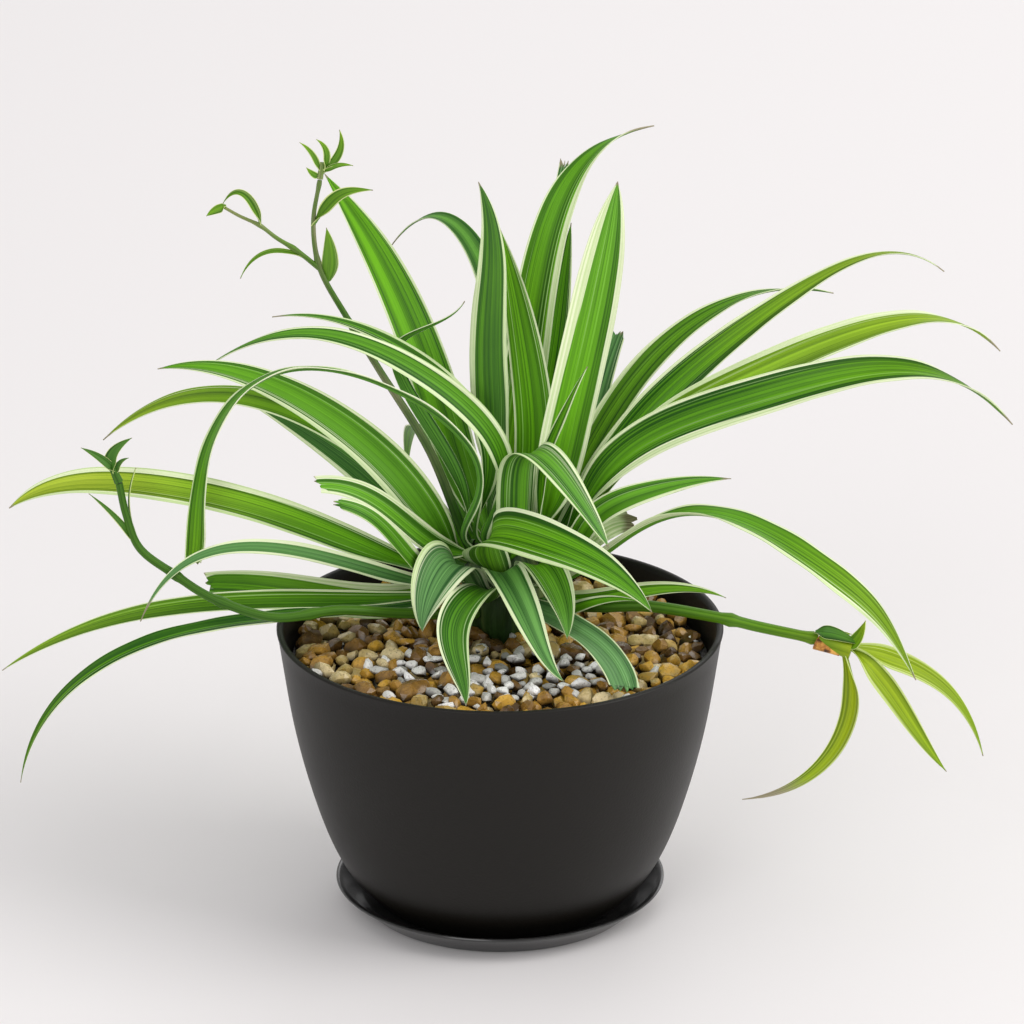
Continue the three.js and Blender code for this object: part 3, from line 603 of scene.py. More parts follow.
def crown_skin(rows=60, sides=160):
    """The oval on its plug, with the rounded ridges of the leaf bases round it.

    At each height the radius is the larger of the oval's and the plug's, times a
    swell of ridges that wind a little as they rise.
    """
    above = CROWN_MIDDLE[2]
    climb = np.sin(np.linspace(0, np.pi / 2, rows))[:, None]
    height = PLUG_BOTTOM + (above + CROWN_HEIGHT - 0.05 - PLUG_BOTTOM) * climb
    angle = around(sides)[None]
    oval = np.sqrt(np.maximum(0, 1 - ((height - above) / CROWN_HEIGHT) ** 2)) * CROWN_RADIUS
    radius = np.maximum(oval, np.where(height < above, PLUG_RADIUS, 0))
    lean = angle + RIDGE_LEAN * np.sin(height / 9)
    ridge = np.abs(np.sin(RIDGES / 2 * lean + 0.6 * np.sin(3 * angle))) ** 0.7
    radius = radius * (RIDGE_FOOT + RIDGE_RISE * ridge)
    rings = [CROWN_X + radius * np.cos(angle), CROWN_Y + radius * np.sin(angle), height + 0 * angle]
    uv = np.stack([angle * PLUG_RADIUS / 10 + 0 * height, height / 100 + 0 * angle], -1)
    return skin(np.stack(rings, -1) * MM, uv)


def blade_streaks_group():
    """Group: the veins of a leaf, read from its own map, which is centimetres
    across the blade and decimetres along it. Gives broad bands, fine veins, sharp
    dark lines and a slow mottle, each from 0 to 1."""
    tree, _, out = new_group("blade_streaks", {}, STREAKS)
    flat = node(tree, "UVMap", uv_map="blade").outputs["UV"]
    for name, (stretch, detail, low, high) in STREAKS.items():
        place = node(tree, "Mapping", {"Vector": flat, "Scale": stretch}).outputs[0]
        connect(tree, out, {name: spread(tree, noise(tree, place, 1, detail), low, high)})
    return tree


blade_streaks = blade_streaks_group()

crown_green, tree, shader = new_material("crown_green")
streaks = node(tree, "Group", node_tree=blade_streaks).outputs
dress(tree, shader, ramp(tree, streaks["Bands"], CROWN_SHADED_GREENS), 0.55, streaks["Veins"], 0.5, 0.4 * MM)
show("crown_sheaths", [crown_skin()], crown_green, "crown", "crown", crease=60)

# -------------------------------------------------------------------------- leaves
# Every leaf has the rib, width and roll of its solid. The blade is a thin
# channelled strap with cream margins, fine lengthwise veins and a slightly
# uneven edge; some have dry or torn ends. What a leaf may say:
#   root: where on the crown it grows, as azimuth and elevation in degrees
#   rib: places an even step apart along the leaf, mm
#   turn: roll about the rib past the root and at the tip, or one for both, degrees
#   tip: width of a blunt, torn end, as a share of the width
#   full, taper, twist: where it is widest, how late it narrows and rolls again
#   cream: width of the -1 and the +1 margin, or one for both, as a share of the half width
#   tone: colour at the root and at the tip: 0 yellow-green, 0.5 green, 1 grey-green
#   shade: how much lighter, or darker below 0: partly its own green, partly painted light and shade
#   dry: share of the length at the tip that has dried
ROOT_WIDTH = 0.4  # share of the width at the root
ROLLED = 0.3  # share of the length in which the blade takes up its turn
WIDEST = 0.4
TAPER = 2.6
FOLD = (38, 8)
TWIST = 3
POINT = 0.12  # half the width of a pointed tip
CLEAR = 0.3  # how far a root stays off the crown's skin
ROWS = 84
COLUMNS = 15
TORN = 5  # how far in a torn end is torn
HOLLOW = 0.2
RIPPLES = (7.5, 3.1)
THICKNESS = 0.55
THINNING = 0.33
GREYING = 2.6  # how late the tone changes towards the tip
LEAF_LIGHT = 0.42
LEAF_SPECULAR = 0.2
UNDERSIDE = (0.16, 0.32, 0.1, 1)
STRAW = [(0.0, (0.17, 0.14, 0.08)), (1.0, (0.46, 0.42, 0.28))]
MARKS = ("cream", "tone", "dry", "under", "light")
LEAVES = {
    # upright leaves
    "upright_front": dict(
        root=(165, 80), rib=[(-2.5, 23.5, 140), (-3.2, 21.5, 168.5), (-2.2, 18, 197), (-6.3, 14, 225.5)],
        width=12.4, turn=(37, 60), taper=4.5, cream=(0.24, 0.2), tone=0.5, shade=-0.42, dry=0.03),
    "upright_middle": dict(
        root=(60, 76), rib=[(10, 30, 132), (7.5, 36, 165), (0, 38, 202)], width=13, turn=-11, taper=4,
        cream=(0.2, 0.16), tone=(0.5, 0.48), shade=0.16),
    "tall_right": dict(
        root=(100, 66), rib=[(4, 38, 129.5), (9.6, 50, 166.5), (19, 62, 203), (46.5, 76, 221)], width=14,
        turn=(37, -60), taper=4.2, twist=6, cream=(0.28, 0.08), tone=(0.46, 0.56), dry=0.1),
    "tall_blunt": dict(
        root=(80, 42), rib=[(9, 54, 127), (14, 70, 166), (20, 84, 207.5)], width=9, turn=30, tip=0.4,
        cream=0.1, tone=(0.85, 0.9), shade=-0.2),
    "tall_dark": dict(
        root=(80, 61), rib=[(10.5, 46, 125.5), (16.5, 58, 158), (21.5, 70, 192)], width=10, turn=20,
        taper=4, cream=(0.24, 0.14), tone=0.5, shade=-0.25),
    "broad_right": dict(
        root=(350, 62), rib=[(18, 22, 137), (27, 24, 179), (35, 24, 222)], width=15.5, turn=85, taper=8,
        cream=(0.24, 0.5), tone=(0.5, 0.62), shade=0.2),
    "behind_broad": dict(
        root=(56, 61), rib=[(22, 44.5, 127.6), (29.5, 54, 145), (36, 60, 161.5)], width=10, turn=50,
        tip=0.5, cream=(0.12, 0.2), tone=(0.95, 1.0), shade=-0.1),
    "small_front": dict(
        root=(320, 57), rib=[(13.2, 14.2, 131.5), (18.2, 10, 151), (26, 6, 170)], width=5.5, turn=60,
        cream=0.26, tone=0.5, shade=-0.1),
    "back_left": dict(
        root=(140, 66), rib=[(-12, 32, 127.5), (-22, 42, 157), (-35, 58, 183), (-53, 72, 207)], width=14,
        turn=-40, taper=5, cream=(0.14, 0.12), tone=(0.52, 0.5), shade=0.15),
    "back_hook": dict(
        root=(110, 50), rib=[(-1, 46, 122), (1, 62, 151), (-9, 80, 182), (-33, 94, 176)], width=10,
        turn=-20, taper=3.5, cream=(0.06, 0.08), tone=(0.6, 0.8), dry=0.05),
    "curl_back": dict(
        root=(180, 66),
        rib=[(-12, 20, 126.6), (-22, 22, 146), (-31, 23.5, 164), (-26, 23, 174.5), (-10.5, 22, 184.8)],
        width=5, turn=-40, cream=0.04, tone=0.65),
    # leaves to the left
    "left_arch": dict(
        root=(224, 67), rib=[(0, 11, 139), (-24, 8, 167.5), (-56, 12, 178.2), (-88, 18, 165)], width=9,
        turn=(-60, 0), cream=0.3, tone=(0.55, 0.6), shade=-0.15, dry=0.03),
    "left_pale": dict(
        root=(200, 66), rib=[(-4, 17, 141), (-29, 20, 170.5), (-68, 24, 179)], width=6.5, turn=(-60, -30),
        cream=(0.3, 0.2), tone=(0.55, 0.6), shade=-0.05, dry=0.06),
    "left_hook": dict(
        root=(200, 58),
        rib=[(-7, 0, 140), (-33, -2, 166), (-67, -4, 171), (-87, -6, 146), (-92, -6, 111.5)], width=7.5,
        turn=(20, -100), tip=0.7, full=0.85, taper=9, twist=6, tone=(0.62, 0.42)),
    "left_bright": dict(
        root=(190, 42), rib=[(-29, 14, 130), (-62, 14, 158), (-102, 12, 167)], width=14.5, turn=(-70, -50),
        cream=(0.16, 0.22), tone=(0.56, 0.5), shade=0.06, dry=0.04),
    "left_far": dict(
        root=(172, 40), rib=[(-25, 22, 122), (-54, 28, 143.5), (-88, 32, 151), (-119.5, 34, 135.6)],
        width=7.5, turn=(-70, -30), taper=4.5, cream=(0.08, 0.14), tone=(0.52, 0.1), dry=0.04),
    "left_dark": dict(
        root=(158, 22), rib=[(-31, 34, 115.5), (-54, 43, 132), (-83, 50, 146)], width=13, turn=-60,
        taper=2.4, cream=(0.08, 0.24), tone=(0.75, 0.8), shade=-0.15),
    "left_blunt": dict(
        root=(211, 53), rib=[(-21.5, 7.5, 113.3), (-36, 1, 128.5), (-55.5, -6, 137)], width=8.4, turn=-65,
        tip=0.6, cream=(0.34, 0.28), tone=0.55),
    "left_short": dict(
        root=(218, 27), rib=[(-24, -2, 108.5), (-34, -14, 126), (-49.5, -20, 137)], width=8, turn=-60,
        tip=0.4, cream=(0.34, 0.16), tone=(0.55, 0.6)),
    "left_long": dict(
        root=(200, 24),
        rib=[(-38, 8, 110), (-66.3, 6, 123), (-94, 4.5, 131.2), (-121, 3, 134.6), (-146.5, 2, 126.3)],
        width=10, turn=(-65, -40), taper=8, cream=(0.3, 0.2), tone=(0.52, -0.4)),
    "left_low": dict(
        root=(208, 16), rib=[(-42, -2, 109), (-79, -12, 119.3), (-107, -18, 98)], width=6.5,
        turn=(-50, -30), cream=(0.34, 0.26), tone=(0.9, 1.0), shade=-0.02, dry=0.08),
    "left_stub": dict(
        root=(188, 6), rib=[(-36, 13, 91.5), (-63, 14, 94.7), (-89, 14, 96.7)], width=12, turn=-60,
        tip=0.6, cream=(0.34, 0.16), tone=(0.45, 0.5)),
    "left_reach": dict(
        root=(205, 6), rib=[(-57, 4, 96), (-104, -2, 95), (-149, -8, 78)], width=6.5, turn=(-60, -40),
        taper=4, cream=(0.2, 0.16), tone=(0.5, 0.2), shade=-0.08),
    "left_sweep": dict(
        root=(216, 7), rib=[(-47, -4, 94.5), (-87, -14, 94.5), (-123, -24, 83.5), (-143, -30, 51)],
        width=7, turn=(-10, -75), cream=(0.08, 0.18), tone=(0.55, 0.4), shade=-0.25),
    # leaves to the front
    "front_fold": dict(
        root=(241, 18), rib=[(-12.5, -0.5, 108.3), (-17, -7, 110.3), (-21, -14, 105), (-23, -21, 96)],
        width=18.5, turn=(-20, 0), full=0.5, taper=3.5, cream=(0.2, 0.16), tone=(0.95, 1.0), shade=0.05),
    "front_centre": dict(
        root=(282, 17), rib=[(0.6, -4, 107.6), (4.7, -16, 106), (11, -28, 96), (19, -38, 87)], width=14.5,
        taper=2.3, cream=0.2, tone=(0.8, 0.95)),
    "front_dark": dict(
        root=(250, 8), rib=[(-4, -6, 103), (-12, -24, 103), (-13, -40, 96), (-10, -54, 86)], width=12,
        taper=4, cream=(0.22, 0.2), tone=(0.55, 0.7), shade=-0.15),
    "front_small": dict(
        root=(300, 34), rib=[(11.4, 2, 107.7), (17.2, -10, 104), (20, -22, 94)], width=14.5, taper=3,
        cream=(0.16, 0.26), tone=(0.5, 0.75), shade=0.05),
    "front_torn": dict(
        root=(300, 4), rib=[(13, -4, 94), (27, -20, 92.5), (37, -46, 87)], width=12.5, tip=0.7, cream=0.12,
        tone=1.0, shade=0.15, dry=0.0),
    "front_over": dict(
        root=(280, 56), rib=[(6, 9, 121.5), (8, 3, 142.5), (19, -12, 141), (32, -30, 127)], width=15,
        full=0.34, taper=4, cream=0.2, tone=(0.5, 0.8), shade=-0.05),
    "front_big": dict(
        root=(264, 41), rib=[(-3, -1, 117.5), (9, -10, 120.8), (28, -18, 116), (45, -30, 106)], width=20,
        turn=(24, 14), taper=3.2, cream=(0.2, 0.14), tone=(0.46, 0.6)),
    # leaves to the right
    "right_low": dict(
        root=(354, 4), rib=[(24, 15, 91), (45, 17, 94), (68, 15, 92)], width=7, turn=60,
        cream=(0.14, 0.45), tone=(0.5, 0.4)),
    "right_near": dict(
        root=(312, 4), rib=[(18, 2, 93), (28, -4, 98.5), (42, -8, 100.3)], width=5, turn=60,
        cream=(0.2, 0.4), tone=0.5),
    "right_drop": dict(
        root=(318, 22),
        rib=[(36, -6, 118), (60.3, -17, 131.8), (84.8, -28, 126.2), (105, -37, 114.7), (123, -44, 90)],
        width=11.5, turn=(-10, 85), taper=5, cream=(0.4, 0.14), tone=(0.55, 0.2)),
    "right_short": dict(
        root=(343, 20), rib=[(27, 6, 119.5), (46, 5, 131), (69, 4, 135)], width=9.5, turn=60,
        cream=(0.34, 0.16), tone=(0.52, 0.62), dry=0.06),
    "right_wide": dict(
        root=(344, 44), rib=[(36, 13, 138), (73, 4, 160), (114, -2, 172), (152, -8, 157)], width=13.5,
        turn=(70, -70), taper=4.2, twist=5, cream=(0.3, 0.14), tone=(0.52, 0.4), shade=-0.14, dry=0.04),
    "right_olive": dict(
        root=(356, 33),
        rib=[(37.3, 20, 134.5), (64.2, 24, 155), (92, 27, 167.5), (121, 30, 175.5), (150, 32, 165)],
        width=10.5, turn=(70, -60), taper=5, twist=5, cream=(0.1, 0.3), tone=(0.34, 0.08), shade=0.05,
        dry=0.05),
    "right_high": dict(
        root=(18, 38),
        rib=[(30, 27, 126.6), (50, 33, 151), (72.2, 39, 168.7), (100, 46, 185.5), (133.7, 52, 183)],
        width=13.2, turn=(65, -20), taper=1.9, cream=(0.1, 0.26), tone=(0.56, 0.0), shade=-0.1, dry=0.03),
    "right_narrow": dict(
        root=(41, 45), rib=[(23, 34.5, 124), (41, 48, 150.3), (68, 59, 169.5), (101, 68, 170)], width=9.5,
        turn=(60, -60), taper=3.5, cream=(0.14, 0.28), tone=(0.45, 0.5), shade=-0.15, dry=0.03),
    "dry_sheath": dict(
        root=(20, 12), rib=[(25.5, 20, 107), (33, 21, 113), (41, 18, 115)], width=10, turn=60, tip=0.5,
        cream=0.95, tone=0.6, shade=0.2, dry=0.25),
    # leaves to the back
    "back_1": dict(
        root=(122, 32), rib=[(-13, 50, 115), (-24, 90, 118), (-29, 126, 87)], width=11),
    "back_2": dict(
        root=(138, 18), rib=[(-21, 44, 109), (-40, 78, 114), (-51, 104, 101)], width=10),
    "back_3": dict(
        root=(95, 30), rib=[(2, 54, 112), (0, 92, 120), (-2, 132, 94)], width=12),
    "back_4": dict(
        root=(66, 28), rib=[(16, 50, 114), (25, 86, 118), (32, 120, 98)], width=11),
    "back_5": dict(
        root=(42, 30), rib=[(22, 40, 118), (42, 70, 117), (61, 98, 113)], width=10),
    "back_6": dict(
        root=(106, 12), rib=[(-5, 44, 97.5), (-10, 75, 98), (-14, 105, 80)], width=9),
    "back_7": dict(
        root=(58, 10), rib=[(13, 42, 101), (25, 74, 98), (34, 100, 78)], width=9),
}
sway = np.random.default_rng(5)


def curve(points, launch, t):
    """The polynomial through points at even steps of t. With a `launch`
    direction it leaves its first point that way: the added term is nought at
    every point."""
    steps = len(points) - 1

    def plain(t):
        total = 0
        for i, point in enumerate(points):
            weights = [(t * steps - j) / (i - j) for j in range(steps + 1) if j != i]
            total = total + np.prod(weights, axis=0)[..., None] * point
        return total

    if launch is None:
        return plain(t)
    slope = (plain(np.array(0.001)) - plain(np.array(-0.001))) * 500
    change = launch * np.linalg.norm(slope) - slope
    weight = t * (1 - t) ** 2 * np.prod([1 - t * steps / k for k in range(1, steps + 1)], axis=0)
    return plain(t) + weight[..., None] * change


def root_on(azimuth, elevation):
    """The place on the crown at these angles, just clear of its skin, and the
    direction square to the skin there."""
    azimuth, elevation = np.radians([azimuth, elevation])
    level = np.cos(elevation)
    away = np.array([level * np.cos(azimuth), level * np.sin(azimuth), np.sin(elevation)])
    size = np.array([CROWN_RADIUS, CROWN_RADIUS, CROWN_HEIGHT])
    place = away / np.linalg.norm(away / size)
    launch = place / size ** 2
    launch /= np.linalg.norm(launch)
    return place + CLEAR * launch + CROWN_MIDDLE, launch


def unit(vectors):
    """Vectors scaled to a length of one."""
    return vectors / np.linalg.norm(vectors, axis=-1, keepdims=True)


def along_rib(points, launch, turn, twist, t):
    """The rib's places at t, and the directions across the blade and up from it.

    Across starts level. It turns from square to the launch to square to the line
    from root to tip. It is then rolled about the rib, by the first angle of
    `turn` once past the root and towards the second one at the tip.
    """
    heading = np.arctan2(*(points[-1] - points[0])[1::-1])
    start = heading if launch is None else np.arctan2(launch[1], launch[0])
    swing = (start - heading + np.pi) % (2 * np.pi) - np.pi
    settled = np.clip(t / ROLLED, 0, 1)
    settled = settled ** 2 * (3 - 2 * settled)
    facing = heading + swing * (1 - settled)
    tangent = unit(curve(points, launch, t + 0.01) - curve(points, launch, t - 0.01))
    across = np.stack([-np.sin(facing), np.cos(facing), 0 * facing], -1)
    across = unit(across - (across * tangent).sum(-1, keepdims=True) * tangent)
    roll = np.radians(turn[0] * settled + (turn[1] - turn[0]) * t ** twist)[..., None]
    across = across * np.cos(roll) + np.cross(tangent, across) * np.sin(roll)
    return curve(points, launch, t), across, np.cross(tangent, across)


def blade(points, launch=None, width=10, turn=0, tip=0.0, full=WIDEST, taper=TAPER, twist=TWIST,
          cream=0.16, tone=(0.5, 0.45), shade=0.0, dry=0.02, rows=ROWS, ripple=0.25):
    """One leaf blade as (part, marks), on a grid of t along and s across, -1 to 1.

    The half width swells as a quarter sine up to `full` and falls as t ** taper.
    The blade is folded up from its rib by FOLD at the root and at the tip, with
    a soft hollow along the rib, and its edges ripple in two waves. It is thickest
    along the rib.
    """
    points = np.array(points, float)
    turn, cream, tone = (np.broadcast_to(pair, 2) for pair in (turn, cream, tone))
    length = np.linalg.norm(np.diff(points, axis=0), axis=1).sum()
    s = np.linspace(-1, 1, COLUMNS)
    torn = sway.uniform(0, TORN / length, COLUMNS) if tip else 0 * s
    t = np.linspace(0, 1, rows)[:, None] * (1 - torn)
    centre, across, up = along_rib(points, launch, turn, twist, t)
    swell = ROOT_WIDTH + (1 - ROOT_WIDTH) * np.sin(np.pi / 2 * np.minimum(1, t / full))
    half = np.maximum(POINT, width / 2 * swell * (1 - (1 - tip) * t ** taper))
    fold = np.radians(FOLD[0] + (FOLD[1] - FOLD[0]) * np.sqrt(t))
    channel = (np.hypot(s, HOLLOW) - HOLLOW) / (np.hypot(1, HOLLOW) - HOLLOW)
    phase = sway.uniform(0, 2 * np.pi, 4)
    wave = np.sin(t * length / RIPPLES[0] + np.where(s < 0, phase[0], phase[1]))
    wave += 0.6 * np.sin(t * length / RIPPLES[1] + np.where(s < 0, phase[2], phase[3]))
    lift = channel * half * np.sin(fold) + ripple * wave * s ** 4 * np.minimum(1, half / 3)
    sheet = centre + across * (s * half * np.cos(fold))[..., None] + up * lift[..., None]
    thick = np.minimum(THICKNESS - THINNING * s ** 2, 0.3 + half * 0.2)[..., None]
    rings = np.concatenate([(sheet + up * thick / 2)[:, ::-1], sheet - up * thick / 2], axis=1)
    share = np.where(s < 0, cream[0], cream[1])
    values = {
        "cream": np.abs(s) - 1 + share * (1 + 0.25 * np.sin(t * length / 23 + phase[0])),
        "tone": tone[0] + (tone[1] - tone[0]) * t ** GREYING,
        "dry": np.clip((t - 1 + dry) / max(dry, 0.01), 0, 1),
        "under": 0 * t,
        # Painted light and shade: each leaf's shade, and the middle of the blade painted lighter than its
        # edges across the fold.
        "light": LEAF_LIGHT + shade + 0.3 * (0.5 - np.minimum(1, np.abs(s) * 1.2) ** 2) + 0 * t,
    }
    marks = {}
    for key, value in values.items():
        value = np.concatenate([value[:, ::-1], value + (key == "under")], axis=1)
        marks[key] = np.concatenate([value.ravel(), value[[0, -1]].mean(axis=1)])
    flat = np.stack([0 * t + s * width / 20, t * length / 100 + sway.uniform(0, 40)], -1)
    return skin(rings * MM, np.concatenate([flat[:, ::-1], flat], axis=1)), marks


def leaf_blade(root, rib, **looks):
    """The blade of a leaf that grows on the crown."""
    place, launch = root_on(*root)
    return blade([place, *rib], launch, **looks)


def grow(name, sprigs, material, slot, replaced):
    """One piece from blades and stems with their marks."""
    marks = {key: [mark[key] for _, mark in sprigs] for key in MARKS}
    show(name, [part for part, _ in sprigs], material, slot, replaced, crease=75, **marks)


def leaf_skin_group():
    """Group: what every leaf has, from its streaks and marks. How light the green
    is, with the painted light and shade of the light mark, where the pale margins
    and lines lie, where it has dried, its roughness and its relief."""
    tree, given, out = new_group(
        "leaf_skin", dict.fromkeys((*STREAKS, "Cream", "Dry", "Light"), 0),
        ("Lit", "Pale", "Crisp", "Rough", "Relief"))
    lit = given["Light"]
    for streak, strength in (("Bands", 0.6), ("Veins", 0.42), ("Lines", -0.42), ("Mottle", 0.22)):
        lit = maths(tree, "MULTIPLY_ADD", given[streak], strength, lit)
    edge = maths(tree, "MULTIPLY_ADD", given["Veins"], 0.05, given["Cream"])
    edge = spread(tree, edge, 0.025, 0.06, interpolation_type="SMOOTHSTEP")
    near = spread(tree, given["Cream"], -0.55, -0.1)
    lines = maths(tree, "MULTIPLY", near, spread(tree, given["Veins"], 0.8, 0.92))
    crisp = maths(tree, "MULTIPLY_ADD", given["Mottle"], 0.5, given["Dry"])
    connect(tree, out, {
        "Lit": maths(tree, "SUBTRACT", lit, 0.56, use_clamp=True),
        "Pale": maths(tree, "MAXIMUM", edge, maths(tree, "MULTIPLY", lines, 0.5)),
        "Crisp": spread(tree, crisp, 0.55, 1.0, interpolation_type="SMOOTHSTEP"),
        "Rough": spread(tree, given["Veins"], 0, 1, 0.36, 0.52),
        "Relief": maths(tree, "ADD", given["Veins"], given["Bands"]),
    })
    return tree


leaf_skin = leaf_skin_group()


def leaf_material(name, dark, light, margin):
    """Striped leaf: bands and veins between the dark and the light green of the
    leaf's tone, crisp cream margins with thin pale lines beside them, a paler
    underside and straw-coloured dry ends."""
    material, tree, shader = new_material(name)
    marks = {key: node(tree, "Attribute", attribute_name=key).outputs["Fac"] for key in MARKS}
    streaks = node(tree, "Group", node_tree=blade_streaks).outputs
    given = {key: streaks[key] for key in STREAKS}
    given.update({key.title(): marks[key] for key in ("cream", "dry", "light")})
    surface = node(tree, "Group", given, node_tree=leaf_skin).outputs
    color = mixed(tree, surface["Lit"], ramp(tree, marks["tone"], dark), ramp(tree, marks["tone"], light))
    color = mixed(tree, surface["Pale"], color, mixed(tree, streaks["Veins"], *margin))
    color = mixed(tree, maths(tree, "MULTIPLY", marks["under"], 0.14), color, UNDERSIDE)
    color = mixed(tree, surface["Crisp"], color, ramp(tree, streaks["Veins"], STRAW))
    dress(tree, shader, color, surface["Rough"], surface["Relief"], 0.35, 0.3 * MM)
    shader.inputs["Specular IOR Level"].default_value = LEAF_SPECULAR
    return material


leaf_green = leaf_material(
    "leaf_green",
    [(0.0, (0.13, 0.22, 0.006)), (0.5, (0.012, 0.08, 0.001)), (1.0, (0.018, 0.085, 0.02))],
    [(0.0, (0.48, 0.62, 0.04)), (0.5, (0.16, 0.47, 0.006)), (1.0, (0.18, 0.41, 0.13))],
    ((0.5, 0.68, 0.27, 1), (0.9, 0.95, 0.68, 1)))

for name, leaf in LEAVES.items():
    grow("blade_" + name, [leaf_blade(**leaf)], leaf_green, "leaf", "leaf_" + name)

# ----------------------------------------------------------- runners and plantlets
# Three long round stems from the crown, jointed where young leaves sit, with a
# tuft of short leaves at each end. The right one lies over the lip and carries
# a young plant with a dry sheath and a brown scar at its base.
JOINT_SWELL = 0.3
JOINT_LENGTH = 1.6
STEM_LIGHT = 0.45
YOUNG = {"rows": 40, "ripple": 0.1}
RUNNER_TOP = {
    "root": (160, 56),
    "stem": [
        (-21, 26, 135), (-36, 36, 157), (-46, 42, 172), (-54, 46, 186), (-56, 48, 200), (-54, 50, 213),
    ],
    "branch": [
        (-54, 46, 186), (-61, 46, 192), (-67, 46, 196), (-72, 46, 200), (-78, 46, 203), (-83, 46, 206),
    ],
    "leaves": [
        dict(width=6, points=[(-52, 46, 182), (-51, 45, 190), (-52, 44, 200)]),
        dict(width=4.6, turn=(70, 40),
             points=[(-56, 48, 199), (-51, 46, 207), (-46, 45, 211), (-38, 44, 212)]),
        dict(width=3, turn=-70,
             points=[(-72, 46, 200), (-74, 45, 207), (-78, 45, 211), (-83, 46, 207)]),
        dict(width=3.2, turn=-70, points=[(-82, 46, 206), (-85, 46, 205), (-88, 46, 203)]),
        dict(width=1.8, turn=-70,
             points=[(-58, 46, 189), (-66, 46, 192), (-73, 46, 190), (-78, 46, 183)]),
    ],
}
PLANTLET_TOP = {
    "knob": [(-54, 50, 213.5), (-53.2, 50.3, 218.5)],
    "leaves": [
        dict(width=3, turn=75, points=[(-53, 50, 216), (-48, 50, 222), (-48, 50, 229)]),
        dict(width=2.6, turn=-75, points=[(-53, 50, 216), (-52, 50, 222), (-55, 50, 226)]),
        dict(width=2.2, turn=-75, points=[(-54, 50, 215), (-56, 50, 221), (-60, 50, 225)]),
        dict(width=2, turn=75, points=[(-53, 50, 215), (-49, 49, 218), (-44, 49, 218)]),
        dict(width=2.4, turn=-75, points=[(-54, 50, 214), (-56, 50, 215), (-58, 50, 217)]),
    ],
}
RUNNER_LEFT = {
    "root": (229, -9),
    "stem": [
        (-30, -3, 94.5), (-48, -12, 99.2), (-67, -16, 98.5), (-85, -15, 104),
        (-97, -13.5, 111.4), (-107, -13, 119.4), (-111, -12.5, 130), (-113, -12, 140),
    ],
    "leaves": [
        dict(width=2.4, turn=-70, points=[(-107, -12, 118), (-113, -13, 128), (-122, -13, 137)]),
        dict(width=2, turn=70,
             points=[(-107, -12, 118), (-110, -11, 129), (-110, -10, 137), (-108, -10, 144)]),
    ],
}
PLANTLET_LEFT = {
    "knob": [(-113.1, -12, 140.4), (-115, -12, 145)],
    "leaves": [
        dict(width=3, turn=-70, points=[(-114, -12, 143), (-118, -13, 148), (-124, -14, 152)]),
        dict(width=4.4, turn=70, points=[(-114, -12, 143), (-115, -12, 149), (-109, -11, 154)]),
        dict(width=2, turn=70, points=[(-113.5, -12, 142), (-113, -12, 146), (-110, -12, 148)]),
    ],
}
RUNNER_RIGHT = {
    "root": (330, -4),
    "stem": [(30, 1, 95), (45, -5, 97.5), (66, -8, 95), (78, -8, 92), (95, -10, 89)],
}
PLANTLET_RIGHT = {
    "knob": [(95.5, -10, 88.9), (105, -12, 86.5)],
    "scar": [(94.8, -10.6, 88.4), (98.2, -12.2, 86.9), (101.4, -13.2, 85.2)],
    "leaves": [
        dict(width=7.6, turn=(-30, -60), tone=(0.12, 0.3), cream=0.08, dry=0.3,
             points=[(103, -12, 87), (105.5, -16, 75), (103.5, -19, 64), (94.5, -21, 51), (72.5, -22, 42)]),
        dict(width=7.4, turn=60, tone=(0.2, 0.35), cream=0.2,
             points=[(104, -12, 87), (114.5, -16, 77.5), (123.5, -20, 65), (133.5, -23, 51.5)]),
        dict(width=8.5, turn=50, full=0.25, taper=1.6, tone=(0.2, 0.35), cream=0.2,
             points=[(104, -12, 87), (120.3, -10, 81), (135, -10, 71), (145, -10, 51)]),
        dict(width=5, turn=70, tone=(0.5, 0.2), cream=0.1,
             points=[(104, -12, 87), (107, -14, 91), (109, -15, 97)]),
        dict(width=3, turn=70, tone=(0.5, 0.2), cream=0.1,
             points=[(96, -10, 89), (100, -11, 91), (105, -11, 91)]),
        # the dry sheath
        dict(width=5.2, turn=(45, 40), tone=(0.95, 0.8), cream=0.06,
             points=[(94.2, -11, 91.2), (100, -12.6, 91.5), (107.5, -13.6, 88.6)]),
    ],
}
SCAR_COLORS = [(0.34, (0.05, 0.018, 0.004)), (0.46, (0.42, 0.16, 0.018)), (0.62, (0.8, 0.42, 0.08))]


def stem(points, radii, joints=(), tone=0.5, dry=0.0, sides=20):
    """A round stem as (part, marks): circles along a smooth path, narrowing from
    the first radius to the second and swollen in a bell at each joint."""
    path = eased(points, 10)
    tone = np.broadcast_to(tone, 2)
    step = np.linalg.norm(np.diff(path, axis=0), axis=1)
    t = np.concatenate([[0], np.cumsum(step)]) / step.sum()
    tangent = unit(np.gradient(path, axis=0))
    side = unit(np.cross(tangent, (0, 1, 0)))
    other = np.cross(tangent, side)
    radius = radii[0] + (radii[1] - radii[0]) * t
    for joint in joints:
        radius = radius * (1 + JOINT_SWELL * np.exp(-((t - joint) * step.sum() / JOINT_LENGTH) ** 2))
    angle = around(sides)[:, None]
    spokes = side[:, None] * np.cos(angle) + other[:, None] * np.sin(angle)
    rings = path[:, None] + spokes * radius[:, None, None]
    flat = np.stack([0 * t[:, None] + angle[:, 0] * 0.1, t[:, None] * step.sum() / 100 + 0 * angle[:, 0]], -1)
    along = np.concatenate([np.repeat(t, sides), [0, 1]])
    marks = {"cream": 0 * along - 1, "tone": tone[0] + (tone[1] - tone[0]) * along,
             "dry": 0 * along + dry, "under": 0 * along, "light": 0 * along + STEM_LIGHT}
    return skin(rings * MM, flat), marks


def young(leaves, **looks):
    """Short leaves that start on a stem, each with the same looks or its own."""
    return [blade(**{**YOUNG, **looks, **leaf}) for leaf in leaves]


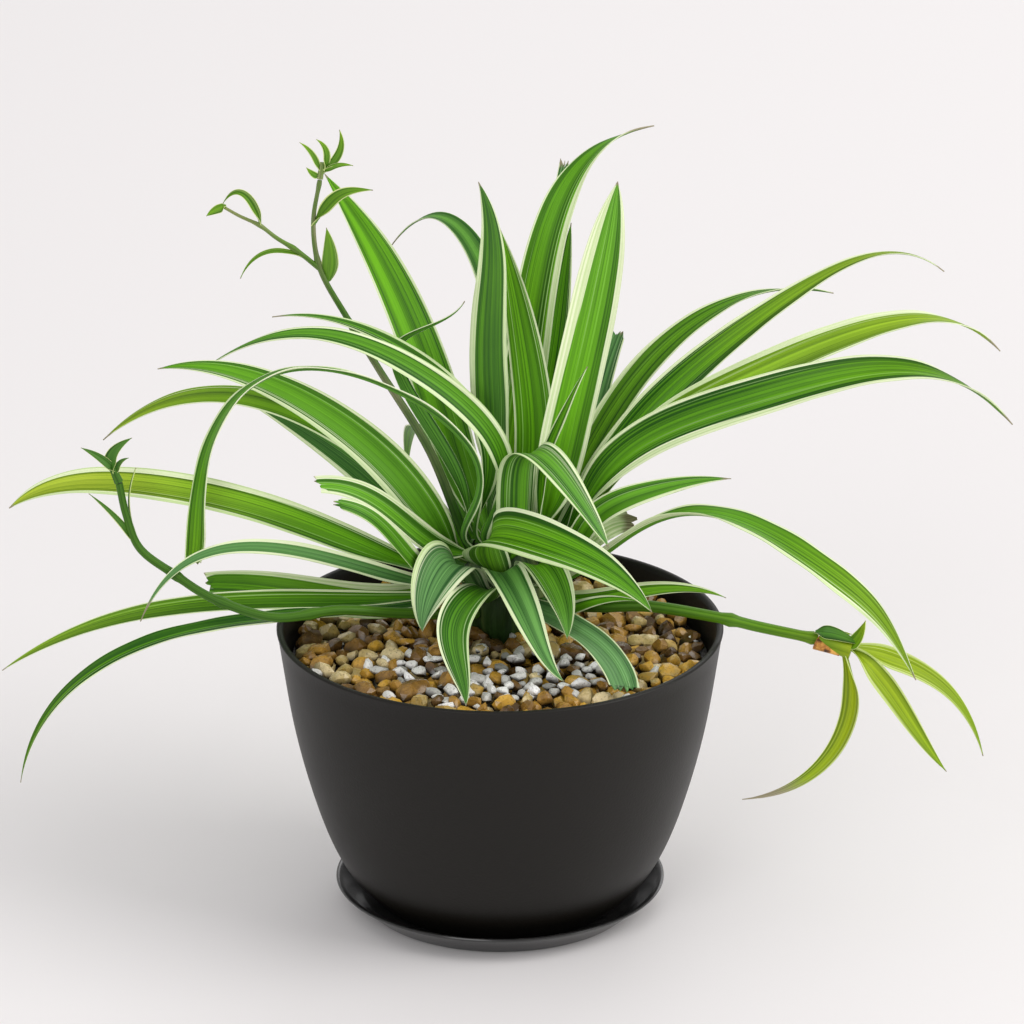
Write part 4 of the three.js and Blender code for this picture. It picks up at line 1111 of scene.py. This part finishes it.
def runner_path(runner):
    """A runner's points, from the crown's skin and straight out of it at first."""
    place, launch = root_on(*runner["root"])
    return [place, place + 3 * launch, *map(np.array, runner["stem"])]


young_green = leaf_material(
    "young_green",
    [(0.0, (0.2, 0.28, 0.004)), (0.5, (0.04, 0.13, 0.003)), (1.0, (0.01, 0.045, 0.006))],
    [(0.0, (0.56, 0.66, 0.025)), (0.5, (0.22, 0.46, 0.015)), (1.0, (0.06, 0.2, 0.025))],
    ((0.45, 0.58, 0.15, 1), (0.75, 0.82, 0.38, 1)))

grow("runner_top_stem", [
    stem(runner_path(RUNNER_TOP), (1.6, 0.6), joints=(0.62, 0.8, 0.99), tone=(0.95, 0.7), dry=0.42),
    stem(RUNNER_TOP["branch"], (0.8, 0.45), joints=(0.3, 0.65), tone=(0.8, 0.3), dry=0.5),
    *young(RUNNER_TOP["leaves"], tone=(0.6, 0.45)),
], young_green, "runner", "runner_top")
grow("runner_left_stem", [
    stem(runner_path(RUNNER_LEFT), (1.8, 1.1), joints=(0.42, 0.62, 0.74), tone=(0.75, 0.85)),
    *young(RUNNER_LEFT["leaves"], tone=0.9, cream=0.1),
], young_green, "runner", "runner_left")
grow("runner_right_stem", [
    stem(runner_path(RUNNER_RIGHT), (1.9, 1.6), joints=(0.7, 0.98), tone=(0.95, 0.4)),
], young_green, "runner", "runner_right")
grow("tuft_top", [
    stem(PLANTLET_TOP["knob"], (1.0, 0.7), dry=0.6),
    *young(PLANTLET_TOP["leaves"], tone=(0.75, 0.3)),
], young_green, "plantlet", "plantlet_top")
grow("tuft_left", [
    stem(PLANTLET_LEFT["knob"], (1.4, 1.0), tone=0.9),
    *young(PLANTLET_LEFT["leaves"], tone=(0.95, 0.9), cream=0.1),
], young_green, "plantlet", "plantlet_left")
grow("tuft_right", [
    stem(PLANTLET_RIGHT["knob"], (2.6, 3.0), tone=(0.45, 0.1)),
    *young(PLANTLET_RIGHT["leaves"]),
], young_green, "plantlet", "plantlet_right")

scar_brown, tree, shader = new_material("scar_brown")
cloud = noise(tree, node(tree, "TexCoord").outputs["Object"], 420, 4)
connect(tree, shader, {"Base Color": ramp(tree, cloud, SCAR_COLORS), "Roughness": 0.5})
show("scar_right", [stem(PLANTLET_RIGHT["scar"], (2.6, 0.4))[0]], scar_brown, "plantlet")
